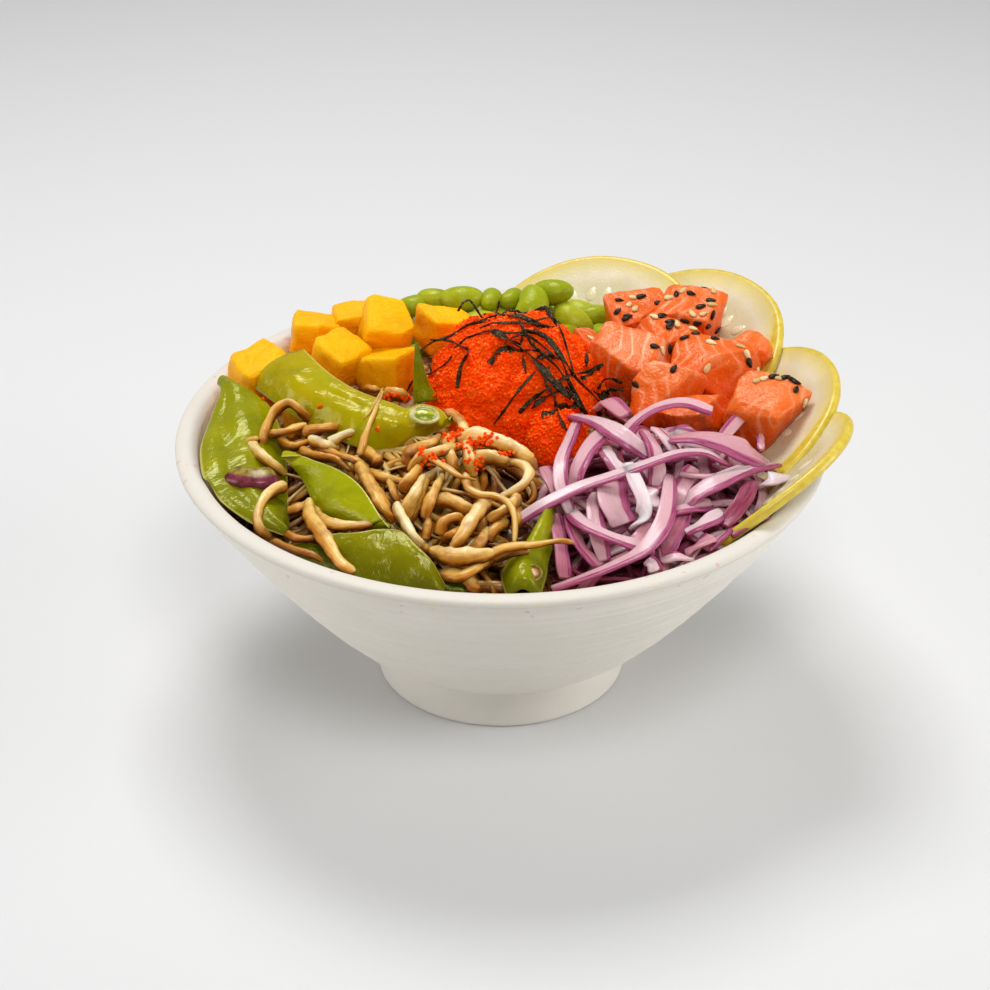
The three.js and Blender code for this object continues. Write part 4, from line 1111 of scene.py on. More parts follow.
# Each shred: pixels with their height over the heap, half its width, its tone from 0, dark, to 1, white, and
# the side that has the skin: 1, -1 or 0 for none.
ONION = [
    (
        [
            (519, 520, 2), (543, 505, 6), (577, 488, 8), (610, 477, 9), (644, 465, 9), (677, 454, 9),
            (704, 453, 8), (724, 462, 5), (735, 470, 0),
        ],
        2.2, 0.75, 1,
    ),
    ([(628, 464, 8), (636, 482, 10), (644, 502, 9), (642, 517, 6), (633, 528, 1)], 2.3, 1.0, 1),
    ([(617, 448, 2), (628, 429, 6), (642, 416, 8), (662, 406, 9), (686, 403, 9), (712, 411, 8)], 2.4, 0.6, 1),
    (
        [
            (579, 416, 4), (571, 437, 7), (562, 459, 8), (561, 482, 7), (568, 506, 4), (577, 524, 0),
        ],
        2.0, 0.65, -1,
    ),
    ([(606, 430, 6), (588, 450, 8), (577, 473, 7), (575, 493, 2)], 2.6, 0.5, -1),
    ([(572, 416, 5), (597, 422, 8), (622, 436, 9), (648, 455, 4)], 2.6, 0.7, 1),
    ([(545, 468, 2), (552, 482, 5), (562, 502, 1)], 2.3, 0.4, -1),
    (
        [
            (654, 443, 2), (676, 439, 5), (700, 438, 7), (726, 444, 8), (751, 455, 7), (774, 470, 1),
        ],
        4.8, 0.42, 1,
    ),
    ([(722, 437, 3), (742, 415, 8), (756, 401, 9), (767, 390, 9)], 2.0, 0.5, -1),
    ([(760, 435, 5), (761, 450, 3)], 1.1, 0.4, 1),
    ([(680, 513, 1), (695, 495, 5), (722, 480, 7), (751, 468, 6), (776, 465, 3)], 2.8, 0.6, 1),
    ([(680, 474, 4), (711, 476, 6), (744, 468, 6), (764, 464, 4)], 1.1, 0.5, -1),
    ([(762, 486, 2), (773, 478, 6), (791, 477, 5)], 2.8, 1.0, 1),
    ([(753, 482, 5), (742, 502, 6), (724, 526, 3)], 2.3, 0.03, 0),
    ([(730, 534, 3), (749, 524, 5), (769, 514, 5)], 2.2, 0.03, 0),
    ([(648, 560, 4), (653, 564, 4), (656, 571, 3)], 2.2, 0.8, -1),
    ([(662, 560, 2), (677, 556, 4), (692, 560, 2)], 1.8, 0.7, -1),
    (
        [
            (552, 589, 0), (588, 576, 3), (617, 564, 5), (644, 549, 7), (662, 526, 8), (668, 504, 8),
            (670, 477, 4),
        ],
        2.5, 0.55, 1,
    ),
    ([(566, 506, 1), (581, 522, 5), (606, 535, 6), (633, 544, 6), (653, 551, 2)], 2.3, 0.65, 1),
    ([(555, 515, 0), (560, 540, 2), (565, 578, 0)], 2.2, 0.2, -1),
    ([(569, 515, 1), (579, 544, 2), (599, 566, 0)], 2.3, 0.25, 1),
    ([(597, 494, 3), (595, 517, 4), (605, 560, 1)], 2.4, 0.55, -1),
    ([(610, 477, 3), (614, 502, 6), (624, 524, 3)], 4.6, 0.6, -1),
    ([(604, 448, 4), (610, 459, 7), (623, 475, 5)], 2.3, 0.85, 1),
    ([(644, 432, 5), (654, 448, 6), (657, 468, 4), (655, 486, 1)], 2.4, 0.55, 1),
    ([(655, 429, 5), (666, 439, 6), (676, 453, 3)], 2.4, 0.75, -1),
    ([(642, 488, 3), (653, 495, 6), (662, 504, 3)], 4.0, 0.8, -1),
    ([(686, 513, 2), (675, 535, 3), (666, 555, 0)], 2.3, 0.15, -1),
    ([(711, 537, 4), (700, 544, 4), (686, 553, 1)], 2.8, 0.35, 1),
    ([(686, 533, 3), (704, 524, 5), (722, 513, 3)], 2.4, 0.8, 1),
    ([(613, 441, 1), (615, 455, 2), (617, 468, 0)], 2.3, 0.1, 0),
    ([(693, 468, 2), (680, 491, 3), (675, 511, 0)], 2.6, 0.45, 1),
    ([(653, 526, 1), (639, 540, 3), (626, 549, 1)], 2.4, 0.4, -1),
    ([(666, 513, 3), (689, 508, 4), (711, 504, 1)], 2.4, 0.55, 1),
    ([(595, 410, 1), (608, 401, 5), (626, 415, 4)], 2.6, 0.35, -1),
    ([(706, 549, 2), (722, 536, 3), (735, 528, 1)], 2.2, 0.5, 1),
]
shred_height = domed(84, 0.0008, SHRED_SWELLS)


def kept_inside(points, gap):
    """Points under the lip's top pulled in to at most the wall's inner radius at their height, less a gap."""
    away = np.hypot(points[..., 0], points[..., 1])
    limit = np.interp(points[..., 2], inside_profile[:, 1], inside_profile[:, 0]) - gap
    share = np.where(points[..., 2] < RIM_TOP + 1.2, np.minimum(1, limit / away), 1)
    return points * np.stack([share, share, np.ones_like(share)], axis=-1)


def tangled(oval, layers, length, bend, draw):
    """Paths of random shreds over an oval (x, y, a, b), in layers of (number, depth), and their depths.

    The heading turns along the shred as h + bend t + w sin(f t + p), and the plan is the running sum of its
    steps. The height is the heap's, less the depth, with a slow wave, and it falls off at the oval's edge."""
    ox, oy, a, b = oval
    number = sum(count for count, _ in layers)
    depth = np.repeat([deep for _, deep in layers], [count for count, _ in layers])[:, None]
    t = np.linspace(-1, 1, TANGLE_ROWS)

    def some(least, most):
        return draw.uniform(least, most, (number, 1))

    way, reach = some(0, 2 * np.pi), np.sqrt(some(0, 0.9))
    turning = some(-bend, bend) * t
    wander = some(0.1, 0.5) * np.sin(some(2, 5) * t + some(0, 6))
    heading = some(0, 2 * np.pi) + turning + wander
    step = length * some(0.6, 1.2) / TANGLE_ROWS
    x, y = np.cumsum(np.cos(heading) * step, axis=1), np.cumsum(np.sin(heading) * step, axis=1)
    x += ox + a * reach * np.cos(way) - x.mean(axis=1, keepdims=True)
    y += oy + b * reach * np.sin(way) - y.mean(axis=1, keepdims=True)
    wave = some(0.5, 2) * np.sin(some(1.5, 4) * t + some(0, 6))
    edge = np.minimum(1.3, ((x - ox) / a) ** 2 + ((y - oy) / b) ** 2) ** 2
    z = shred_height(x, y) - depth + wave - 3 * t**4 - 4 * edge
    z = np.maximum(z, bed_height(x, y) + 0.8)
    return kept_inside(np.stack([x, y, z], axis=-1), 2.5), depth[:, 0]


def heap_core(name, oval, depth, material, **marks):
    """A low body so deep in a heap: at an angle q from its edge a ring has the share cos q of the oval and
    the height foot + (top - foot) sin(q)^0.5, its foot being just under the quinoa."""
    ox, oy, a, b = oval
    q = np.linspace(0, np.pi / 2 - 0.02, 26)[:, None]
    turn = np.linspace(0, 2 * np.pi, 96, endpoint=False)
    x, y = ox + a * np.cos(q) * np.cos(turn), oy + b * np.cos(q) * np.sin(turn)
    foot = bed_height(x, y) - 1
    tall = np.maximum(shred_height(x, y) - depth, foot + 0.1) - foot
    body = np.stack([x, y, foot + tall * np.sin(q) ** 0.5], axis=-1)
    body[:, :, 2] += 0.7 * ripple(body, 7, 160)
    floor = body[:1] * [1, 1, 0] + [0, 0, 70]
    return ring_piece(name, kept_inside(np.concatenate([floor, body])[None], 2.5), material, **marks)


def shred_marks(rings, paths, section, sides, tones):
    """Marks of shreds: (across to the skin, tone, share along) and, in millimetres for the streaks, (along at
    an eighth of its length, across, a number of its own)."""
    rows, along, around, _ = rings.shape
    share = np.linspace(0, 1, along)[None, :, None] + np.zeros((rows, 1, around))
    length = np.linalg.norm(np.diff(paths, axis=1), axis=-1).sum(axis=1)[:, None, None]
    across, through = section.T
    skin = sides[:, None, None] * across + 0 * share
    tone = tones[:, None, None] + 0 * share
    shred = np.stack([skin, tone, share], axis=-1)
    streak = np.stack([share * length / 8, 2.6 * across + 0 * share, tone * 60 + 3 * through], axis=-1)
    return {"shred": shred, "streak": streak}


onion, place = new_finish(
    "red onion",
    Specular_IOR_Level=0.35,
    Coat_Weight=0.12,
    Coat_Roughness=0.12,
    Subsurface_Weight=0.55,
    Subsurface_Scale=0.004,
    Subsurface_Radius=(1, 0.6, 0.7),
)
side, tone, _ = place.mark("shred").split()
streaks = place.mark("streak").noise(1.0, 3, 0.6)
flesh = tone.ramp((0.0, "#8A2448"), (0.2, "#C07486"), (0.5, "#DAA8AE"), (0.75, "#E4C2C6"), (1.0, "#F2E2E2"))
flesh = (streaks.step(0.42, 0.75) * 0.4).mix(flesh, "#CC8CA0")
skin = (side + (streaks - 0.5) * 0.4).step(0.3, 0.5)
colour = (skin * (1 - tone.step(0.8, 1.1))).mix(flesh, streaks.ramp((0.3, "#8A2A56"), (0.7, "#B86488")))
# Low in the heap, under 70 to 84 mm, the shreds are painted dark maroon: painted shade.
colour = place.split()[2].step(0.07, 0.084).mix("#7E2838", colour)
dress(onion, colour, streaks * 0.25 + 0.16, streaks + place.noise(600, 2) * 0.3, 0.00018)

draw = np.random.default_rng(29)
knots, half, tones, sides = zip(*ONION)
paths = kept_inside(np.array([through(sight(row, shred_height), SHRED_ROWS) for row in knots]), 2)
along = np.linspace(0, 1, SHRED_ROWS)
half = np.array(half)[:, None] * 1.08
width = half * (1 - 0.3 * np.abs(2 * along - 1) ** 5) * (1 + 0.05 * np.sin(along * 13 + half * 9))
roll = draw.uniform(-0.25, 0.25, (len(paths), 1)) + 0.35 * np.sin(along * 4 + half * 5)
section = oval_section(12, 4.5)
rings = swept(paths, section, width, SHRED_THICK + 0 * width, roll)
marks = shred_marks(rings, paths, section, np.array(sides), np.array(tones))
serve(ring_piece("onion_shreds", rings, onion, **marks), "onion", "red_onion_heap")

paths, depth = tangled(ONION_OVAL, ONION_LAYERS, 46, 1.1, draw)
along = np.linspace(0, 1, TANGLE_ROWS)
width = draw.uniform(1.1, 3.0, (len(paths), 1)) * (1 - 0.4 * np.abs(2 * along - 1) ** 5)
roll = draw.uniform(-0.6, 0.6, (len(paths), 1)) + 0.4 * np.sin(along * 5)
section = oval_section(10, 4.5)
rings = swept(paths, section, width, THIN_SHRED_THICK + 0 * width, roll)
# Deeper shreds take lower tones, 0.09 less for each millimetre: painted shade in the heap.
sides, tones = draw.choice([-1, 1], len(paths)), draw.uniform(0.4, 0.9, len(paths)) - 0.09 * depth
marks = shred_marks(rings, paths, section, sides, tones)
serve(ring_piece("onion_tangle", rings, onion, **marks), "onion")
# The core's low tone paints it dark: painted shade deep under the shreds.
core = heap_core("onion_core", ONION_OVAL, ONION_CORE_DEPTH, onion, shred=(0, 0.06, 0), streak=(0, 0, 0))
serve(core, "onion")

# The bean sprouts
#
# Bean sprouts, stir-fried in a brown sauce and heaped at the front left: limp round stems of 3 to 5 mm that
# taper to a tail. They are glossy, tan to brown, with patches of sauce; the heap's hollows are painted dark
# as shade.
STEM_ROWS = 64
SPROUT_OVAL = (-36, -35, 45, 47)
SPROUT_CORE_DEPTH = 8.5

# Each stem: pixels with their height over the heap, half its width, and its tone from 0, brown, to 1, pale.
SPROUTS = [
    ([(230, 473, -1), (237, 458, 2), (248, 443, 4), (259, 439, 5)], 2.2, 0.45),
    ([(262, 449, 0), (265, 432, 4), (274, 412, 7), (288, 403, 8), (301, 411, 6), (311, 425, 0)], 2.3, 0.5),
    ([(271, 435, 2), (288, 430, 5), (307, 424, 4)], 1.9, 0.55),
    ([(250, 447, 3), (262, 456, 5), (274, 465, 4), (285, 475, 0)], 2.5, 0.7),
    ([(287, 486, 4), (274, 490, 5), (262, 502, 5), (257, 517, 5), (261, 529, 3), (271, 538, -1)], 2.1, 0.65),
    ([(308, 501, 2), (311, 517, 5), (326, 539, 6), (340, 562, 6), (355, 572, 5)], 2.4, 0.5),
    ([(311, 508, 0), (324, 521, 4), (342, 526, 5), (373, 524, 5)], 2.0, 0.5),
    ([(288, 535, 0), (299, 539, 3), (318, 536, 2), (324, 526, 0)], 1.8, 0.15),
    ([(274, 542, 0), (296, 550, 1), (314, 556, 1), (327, 565, 0)], 1.9, 0.1),
    ([(361, 465, 2), (371, 486, 5), (383, 506, 5), (393, 523, 0)], 2.8, 0.42),
    ([(395, 507, 2), (403, 519, 5), (414, 538, 5), (426, 554, 0)], 2.4, 0.95),
    ([(360, 456, 2), (364, 440, 5), (371, 421, 8), (383, 391, 11)], 1.6, 0.5),
    ([(353, 429, 4), (368, 415, 8), (378, 397, 11), (383, 388, 11)], 0.7, 0.45),
    ([(306, 435, 2), (324, 428, 5), (347, 428, 1)], 2.6, 0.35),
    ([(279, 441, 0), (294, 447, 3), (311, 441, 2)], 1.8, 0.2),
    ([(311, 441, 2), (325, 445, 4), (338, 448, 1)], 2.3, 0.85),
    ([(329, 443, 4), (342, 436, 5), (357, 431, 3)], 1.7, 1.0),
    ([(298, 452, 0), (316, 457, 3), (336, 460, 3), (351, 471, 0)], 2.2, 0.15),
    ([(318, 447, 1), (336, 454, 3), (355, 460, 4), (369, 469, 1)], 1.9, 0.25),
    ([(364, 452, 1), (377, 460, 3), (373, 464, 1)], 2.4, 0.25),
    ([(409, 517, 1), (416, 501, 4), (426, 478, 3)], 2.6, 0.5),
    ([(389, 478, 1), (394, 493, 3), (399, 504, 0)], 1.8, 0.3),
    ([(370, 473, 0), (383, 478, 3), (409, 482, 1)], 2.0, 0.35),
    ([(360, 388, 0), (372, 389, 3), (383, 391, 2)], 1.4, 0.3),
    ([(386, 395, 2), (397, 395, 4), (409, 400, 1)], 2.6, 0.5),
    ([(288, 512, 0), (299, 508, 1), (311, 502, 0)], 1.8, 0.3),
    ([(458, 442, 2), (475, 436, 5), (494, 441, 7), (514, 448, 7), (527, 458, 6), (535, 469, 1)], 2.9, 0.7),
    ([(507, 462, 1), (519, 463, 5), (529, 470, 7), (526, 481, 7), (515, 490, 5), (499, 497, 2)], 1.9, 0.85),
    ([(467, 446, 2), (469, 460, 5), (473, 477, 1)], 2.5, 0.65),
    (
        [
            (466, 473, 3), (467, 486, 6), (480, 494, 7), (496, 496, 8), (510, 505, 8), (515, 521, 7),
            (514, 544, 4),
        ],
        1.5, 0.6,
    ),
    ([(487, 504, 4), (475, 517, 7), (463, 535, 7), (452, 552, 2)], 3.1, 0.62),
    ([(518, 501, 2), (504, 509, 6), (488, 521, 3)], 2.6, 0.65),
    ([(437, 500, 1), (450, 501, 4), (463, 507, 4), (476, 515, 0)], 2.6, 0.6),
    ([(439, 535, 1), (444, 522, 4), (458, 517, 4), (466, 527, 1)], 2.6, 0.35),
    ([(444, 541, 0), (454, 535, 3), (463, 529, 1)], 2.2, 0.2),
    ([(433, 553, 3), (454, 557, 7), (475, 556, 8), (494, 553, 8)], 3.0, 0.62),
    ([(486, 557, 6), (507, 548, 8), (534, 545, 8), (558, 541, 8), (574, 543, 7)], 1.7, 0.5),
    ([(494, 560, 4), (510, 553, 6), (529, 552, 6)], 1.6, 0.15),
    ([(444, 573, 1), (460, 577, 4), (474, 570, 5), (486, 563, 2)], 2.6, 0.45),
    ([(467, 576, 2), (472, 584, 2), (477, 591, -1)], 2.5, 0.5),
    ([(407, 519, 0), (411, 505, 4), (417, 492, 5), (424, 477, 2)], 2.9, 0.62),
    ([(403, 492, 0), (410, 480, 3), (420, 466, 3)], 2.4, 0.5),
    ([(425, 519, 1), (429, 504, 4), (436, 489, 4), (443, 476, 1)], 2.7, 0.45),
    ([(425, 540, 0), (427, 527, 2), (429, 516, 1)], 1.9, 0.35),
    ([(428, 457, 5), (444, 466, 7), (460, 476, 7), (476, 480, 3)], 1.1, 0.6),
    ([(408, 465, 0), (410, 453, 4), (419, 448, 6), (432, 444, 6), (440, 436, 1)], 2.3, 0.5),
    ([(412, 473, 0), (420, 460, 4), (432, 454, 6), (446, 450, 6), (462, 446, 3)], 2.2, 0.55),
    ([(447, 411, 1), (458, 419, 5), (464, 429, 5), (464, 437, 2)], 2.0, 0.6),
    ([(451, 436, 2), (448, 448, 4), (452, 460, 4), (458, 470, 1)], 2.2, 0.5),
    ([(475, 462, 3), (486, 457, 5), (499, 460, 5), (507, 465, 2)], 3.0, 0.75),
    ([(517, 508, 1), (519, 519, 2), (512, 531, 0)], 2.4, 0.2),
    ([(486, 540, 1), (494, 529, 3), (507, 521, 1)], 2.6, 0.35),
    ([(475, 551, 2), (482, 540, 4), (488, 529, 2)], 2.4, 0.5),
    ([(413, 541, 0), (423, 548, 2), (435, 555, 0)], 2.2, 0.1),
]

# The stems that hardly show, and the roots: oval, layers of (number, depth), length, bend, half widths,
# corners round a stem, tones, and how much darker they are painted for each millimetre of depth, as shade.
STEM_LAYERS = ((26, 2.4), (56, 5), (60, 9))
SPROUT_TANGLES = {
    "sprout_tangle": (SPROUT_OVAL, STEM_LAYERS, 62, 1.9, (1.2, 2.2), 10, (0.45, 0.95), 0.11),
    "sprout_ends": ((-8, -68, 20, 17), ((12, 3), (26, 6)), 34, 1.5, (0.9, 1.8), 10, (0.0, 0.5), 0),
    "sprout_roots": (SPROUT_OVAL, ((16, 0.4),), 64, 2.4, (0.4, 0.8), 8, (0.5, 0.9), 0),
}


def stem_marks(rings, paths, tones):
    """Marks of stems: (tone, share along, how far it faces up) and, for the streaks, (along at a tenth of its
    length, and the two numbers of a circle of radius 1.6 round the stem, moved apart by its tone)."""
    rows, along, around, _ = rings.shape
    share = np.linspace(0, 1, along)[None, :, None] + np.zeros((rows, 1, around))
    length = np.linalg.norm(np.diff(paths, axis=1), axis=-1).sum(axis=1)[:, None, None]
    turn = (np.arange(around) + 0.5) / around * 2 * np.pi
    tone = tones[:, None, None] + 0 * share
    out = rings - paths[:, :, None]
    stem = np.stack([tone, share, out[..., 2] / np.linalg.norm(out, axis=-1)], axis=-1)
    beside, over = 1.6 * np.cos(turn) + 0 * share, 1.6 * np.sin(turn) + 90 * tone
    streak = np.stack([share * length / 10, beside, over], axis=-1)
    return {"stem": stem, "streak": streak}


def stem_rings(paths, radius, draw, around):
    """Rings of stems: a soft oval section with three ridges and a groove, swelling slowly along, rounded at
    both ends and thinner towards the tail, turned slowly about the path, and uneven by two ripples."""
    share = np.linspace(0, 1, paths.shape[1])
    start, wave = draw.uniform(0, 6, (2, len(paths), 1))
    ends = np.sqrt(np.clip(1 - np.abs(2 * share - 1) ** 22, 0.04, 1))
    swelling = 1 + 0.07 * np.sin(share * 8 + wave) + 0.02 * np.sin(share * 23 + start)
    size = radius[:, None] * ends * (1.08 - 0.45 * share**2) * swelling
    section = oval_section(around, 2.3)
    turn = (np.arange(around) + 0.5) / around * 2 * np.pi
    section = section * (1 - 0.14 * np.clip(np.cos(turn - 1.5), 0, 1) ** 6 - 0.07 * np.cos(3 * turn))[:, None]
    rings = swept(paths, section, size, size * 0.72, start + 0.5 * np.sin(share * 3 + wave))
    uneven = 1 + 0.12 * ripple(rings, 6, 180) + 0.05 * ripple(rings, 2.4, 181)
    return paths[:, :, None] + (rings - paths[:, :, None]) * uneven[..., None]


sprout, place = new_finish(
    "fried sprout",
    Specular_IOR_Level=0.4,
    Specular_Tint=(1, 0.84, 0.6, 1),
    Coat_Weight=0.22,
    Coat_Roughness=0.07,
    Subsurface_Weight=0.5,
    Subsurface_Scale=0.003,
    Subsurface_Radius=(1, 0.7, 0.4),
)
tone, _, up = place.mark("stem").split()
streaks = place.mark("streak").noise(1.0, 4, 0.7)
# Stems are painted lighter where they face up and darker where they face down: painted light and shade.
body = tone * 0.6 + up * 0.42 + (streaks - 0.5) * 0.75 + 0.05
colour = body.ramp(
    (0.0, "#3E1600"), (0.25, "#8C4602"), (0.48, "#CA8826"), (0.72, "#E8BA64"), (1.0, "#F8E4B4"),
)
colour = (place.noise(100, 3).step(0.5, 0.7) * 0.5).mix(colour, "#96480C")
# Low in the heap, under 68 to 86 mm, the stems are painted dark brown: painted shade in its hollows.
colour = place.split()[2].step(0.068, 0.086).mix("#4A2004", colour)
dress(sprout, colour, place.noise(300, 2) * 0.24 + 0.1, streaks + place.noise(400, 3) * 0.5, 0.00045)

draw = np.random.default_rng(37)
knots, radius, tones = zip(*SPROUTS)
paths = kept_inside(np.array([through(sight(row, shred_height), STEM_ROWS) for row in knots]), 2)
rings = stem_rings(paths, np.array(radius) * 0.9, draw, 18)
marks = stem_marks(rings, paths, np.array(tones))
serve(ring_piece("sprout_stems", rings, sprout, **marks), "sprout", "bean_sprout_heap")
for name, (oval, layers, length, bend, radii, around, tones, depth_shade) in SPROUT_TANGLES.items():
    paths, depth = tangled(oval, layers, length, bend, draw)
    rings = stem_rings(paths, draw.uniform(*radii, len(paths)), draw, around)
    marks = stem_marks(rings, paths, draw.uniform(*tones, len(paths)) - depth_shade * depth)
    serve(ring_piece(name, rings, sprout, **marks), "sprout")
# The core's low tone paints it near-black brown: painted shade in the gaps of the heap.
core = heap_core("sprout_core", SPROUT_OVAL, SPROUT_CORE_DEPTH, sprout, stem=(0.02, 0, 0), streak=(0, 0, 0))
serve(core, "sprout")

# The snow peas and the onion wedge
#
# Snow peas cooked whole and cut aslant: flat pods with a seam along both edges and the peas showing as bumps.
# They stand between the sprouts and the wall. A curved wedge of red onion lies at the left edge.
POD_ROWS, POD_AROUND = 64, 36

# Each pod's two edges, read from the front as pixels with their heights above the table, then how far it
# bulges, its thickness, how many peas show, how deep its fold is, and its colour.
PODS = [
    (
        [
            (217, 384, 90), (220, 391, 89), (211, 417, 87), (201, 444, 86), (200, 462, 85.5),
            (204, 480, 84.5), (219, 500, 83), (239, 516, 81.5), (256, 526, 80.5), (285, 536, 79),
        ],
        [
            (230, 379, 91), (247, 389, 90), (261, 398, 88.5), (272, 409, 87), (281, 430, 84),
            (287, 460, 81), (288, 491, 79.5), (289, 510, 79), (289, 522, 78.8), (288, 534, 78.5),
        ],
        2.4, 1.8, 0, 1.8, "#8A8A02",
    ),
    (
        [
            (304, 349, 98), (319, 364, 98), (335, 377, 98), (355, 389, 97.5), (375, 397, 97),
            (393, 403, 96.5), (407, 408, 95.5), (422, 404, 96), (440, 409, 95), (450, 421, 93),
        ],
        [
            (252, 387, 88), (270, 400, 88), (290, 414, 88), (314, 428, 87.5), (340, 441, 87),
            (368, 450, 86.5), (393, 450, 86.5), (410, 443, 87), (430, 435, 88.5), (451, 425, 91),
        ],
        2.6, 2.6, 4, 1.2, "#AC9802",
    ),
    (
        [
            (281, 457, 88), (301, 456, 90.5), (313, 460, 91), (335, 468, 91.5), (353, 479, 91.5),
            (366, 493, 91), (379, 514, 89), (389, 528, 87),
        ],
        [
            (281, 458, 87), (290, 464, 86), (297, 472, 85), (304, 483, 84), (312, 500, 82.5),
            (325, 516, 82), (348, 526, 82), (389, 532, 84),
        ],
        0.9, 1.9, 2, 0, "#9A9C02",
    ),
    (
        [
            (326, 534, 85), (345, 533, 86), (360, 532, 87), (379, 529, 87.5), (401, 531, 87.5),
            (416, 545, 86.5), (432, 561, 84.5), (446, 586, 80),
        ],
        [
            (326, 548, 79), (334, 562, 78), (345, 576, 77), (362, 586, 77), (382, 590, 77),
            (402, 593, 77), (424, 596, 77), (446, 598, 77),
        ],
        1.2, 2.2, 3, 0, "#7E7802",
    ),
    (
        [(288, 545, 79), (305, 543, 80), (322, 546, 80), (340, 556, 79), (356, 572, 77)],
        [(284, 552, 76), (300, 566, 75), (318, 578, 75), (338, 586, 75), (358, 590, 75)],
        1.2, 2.6, 2, 0, "#5E5A02",
    ),
    (
        [(415, 342, 104), (414, 360, 99), (413, 385, 91), (414, 404, 86)],
        [(418, 342, 104), (422, 360, 99), (430, 384, 91.5), (441, 400, 87)],
        1.0, 2.2, 0, 0, "#667004",
    ),
    (
        [
            (543, 516, 82), (535, 532, 81.5), (518, 553, 80), (506, 566, 79.5), (501, 579, 78.5),
            (506, 597, 77),
        ],
        [
            (557, 514, 82), (556, 536, 81.5), (553, 549, 80.5), (549, 562, 79.5), (547, 576, 78.5),
            (541, 597, 77.5),
        ],
        2.8, 8.0, 0, 0, "#8A8C04",
    ),
    (
        [(432, 582, 77.5), (446, 578, 78), (462, 578, 78), (476, 584, 76.5)],
        [(432, 594, 76), (446, 597, 76), (462, 597, 76), (478, 595, 76)],
        0.8, 2.4, 0, 0, "#727402",
    ),
]


def at_height(pixels):
    """Places on the lines of sight through pixels (u, v, z) at height z: eye + way (z - eye z) / way z."""
    u, v, z = np.asarray(pixels, float).T
    ways = sight_ways(u, v)
    return eye + ways * ((z - eye[2]) / ways[:, 2])[:, None]


def pod_rings(edge, other, bulge, thickness, peas, fold):
    """Rings of a pod between its two edges, and its marks (across, along, face).

    Across the pod x runs from -1 to 1 as cos t: place = middle + x (edge - other) / 2 + out (bulge (1 - x^2)
    + thickness / 2 lens), lens = sin t |sin t|^0.8 with a bead near |x| = 0.94 for the seam. A pea is a bell,
    and the fold a groove at x = 0.4."""
    a, b = through(at_height(edge), POD_ROWS), through(at_height(other), POD_ROWS)
    share = np.linspace(0, 1, POD_ROWS)[:, None]
    t = np.arange(POD_AROUND) / POD_AROUND * 2 * np.pi
    x = np.cos(t)
    out = np.cross(np.gradient(a + b, axis=0), b - a)
    out *= np.sign(out[:, 2:]) / np.linalg.norm(out, axis=1, keepdims=True)
    face = np.sin(t)
    lens = face * np.abs(face) ** 0.8 + 0.2 * np.sign(face) * np.exp(-(((np.abs(x) - 0.94) / 0.045) ** 2))
    middles = (np.arange(peas) + 0.5) / max(1, peas)
    length = np.linalg.norm(np.diff((a + b) / 2, axis=0), axis=1).sum()
    wide = np.linalg.norm(a - b, axis=1)[:, None] / 2
    bells = np.exp(-(((share - middles) * length / 3.2) ** 2)).sum(axis=1, keepdims=True)
    bells = bells * np.exp(-((x * wide / 3.4) ** 2))
    closing = np.sqrt(np.clip(1 - np.abs(2 * share - 1) ** 30, 0.1, 1))
    spots = (a + b)[:, None] / 2 + x[:, None] * (a - b)[:, None] / 2
    ripples = 0.6 * ripple(spots, 17, 170) + 0.1 * ripple(spots, 5, 171)
    deep = bulge * (1 - x**2) + thickness / 2 * lens * closing
    deep = deep + 0.5 * bells * face * np.abs(face) + ripples * (1 - x**6)
    deep = deep - fold * np.exp(-(((x - 0.4) / 0.16) ** 2)) * np.sin(np.pi * share) ** 0.7
    marks = np.stack([x + 0 * share, share * length + 0 * x, face + 0 * share], axis=-1)
    return kept_inside(spots + out[:, None] * deep[..., None], 1.0), marks


for k, (edge, other, bulge, thickness, peas, fold, tint) in enumerate(PODS):
    pod, place = new_finish(
        f"snow pea {k + 1}",
        Specular_IOR_Level=0.35,
        Specular_Tint=(1, 1, 0.4, 1),
        Subsurface_Weight=0.15,
        Subsurface_Scale=0.003,
        Subsurface_Radius=(0.6, 1, 0.2),
    )
    across = place.mark("pod").split()[0]
    colour = (place.noise(70, 3).step(0.4, 0.75) * 0.6).mix(tint, "#A8A206")
    colour = (place.noise(110, 3).step(0.5, 0.8) * 0.4).mix(colour, "#5E6A02")
    # Low in the bowl, under 74 to 89 mm, the pods are painted dark olive: painted shade.
    colour = place.split()[2].step(0.074, 0.089).mix("#464A02", colour)
    colour = (across.step(0.93, 0.98) * 0.7).mix(colour, "#CCC268")
    colour = ((0 - across).step(0.92, 0.98) * 0.5).mix(colour, "#BDB450")
    veins = place.mark("pod").scaled((2.6, 0.5, 1.0)).noise(1.0, 3, 0.55, 0.6)
    colour = (veins.step(0.55, 0.8) * 0.2).mix(colour, "#B4AC20")
    dress(pod, colour, place.noise(90, 3) * 0.24 + 0.04, veins * 0.6 + place.noise(60, 2) * 3, 0.0006)
    rings, marks = pod_rings(edge, other, bulge, thickness, peas, fold)
    piece = ring_piece(f"pod_{k + 1}", rings[None], pod, pod=marks[None])
    serve(piece, "pod", f"snow_pea_{k + 1}")


def bent(start, middle, end, u):
    """The parabola a (1 - u)^2 + 2 p u (1 - u) + c u^2 that meets the middle point at u = 1/2."""
    a, m, c = (np.asarray(point, float) for point in (start, middle, end))
    u = np.asarray(u)[..., None]
    return a * (1 - u) ** 2 + (2 * m - 0.5 * a - 0.5 * c) * 2 * u * (1 - u) + c * u**2


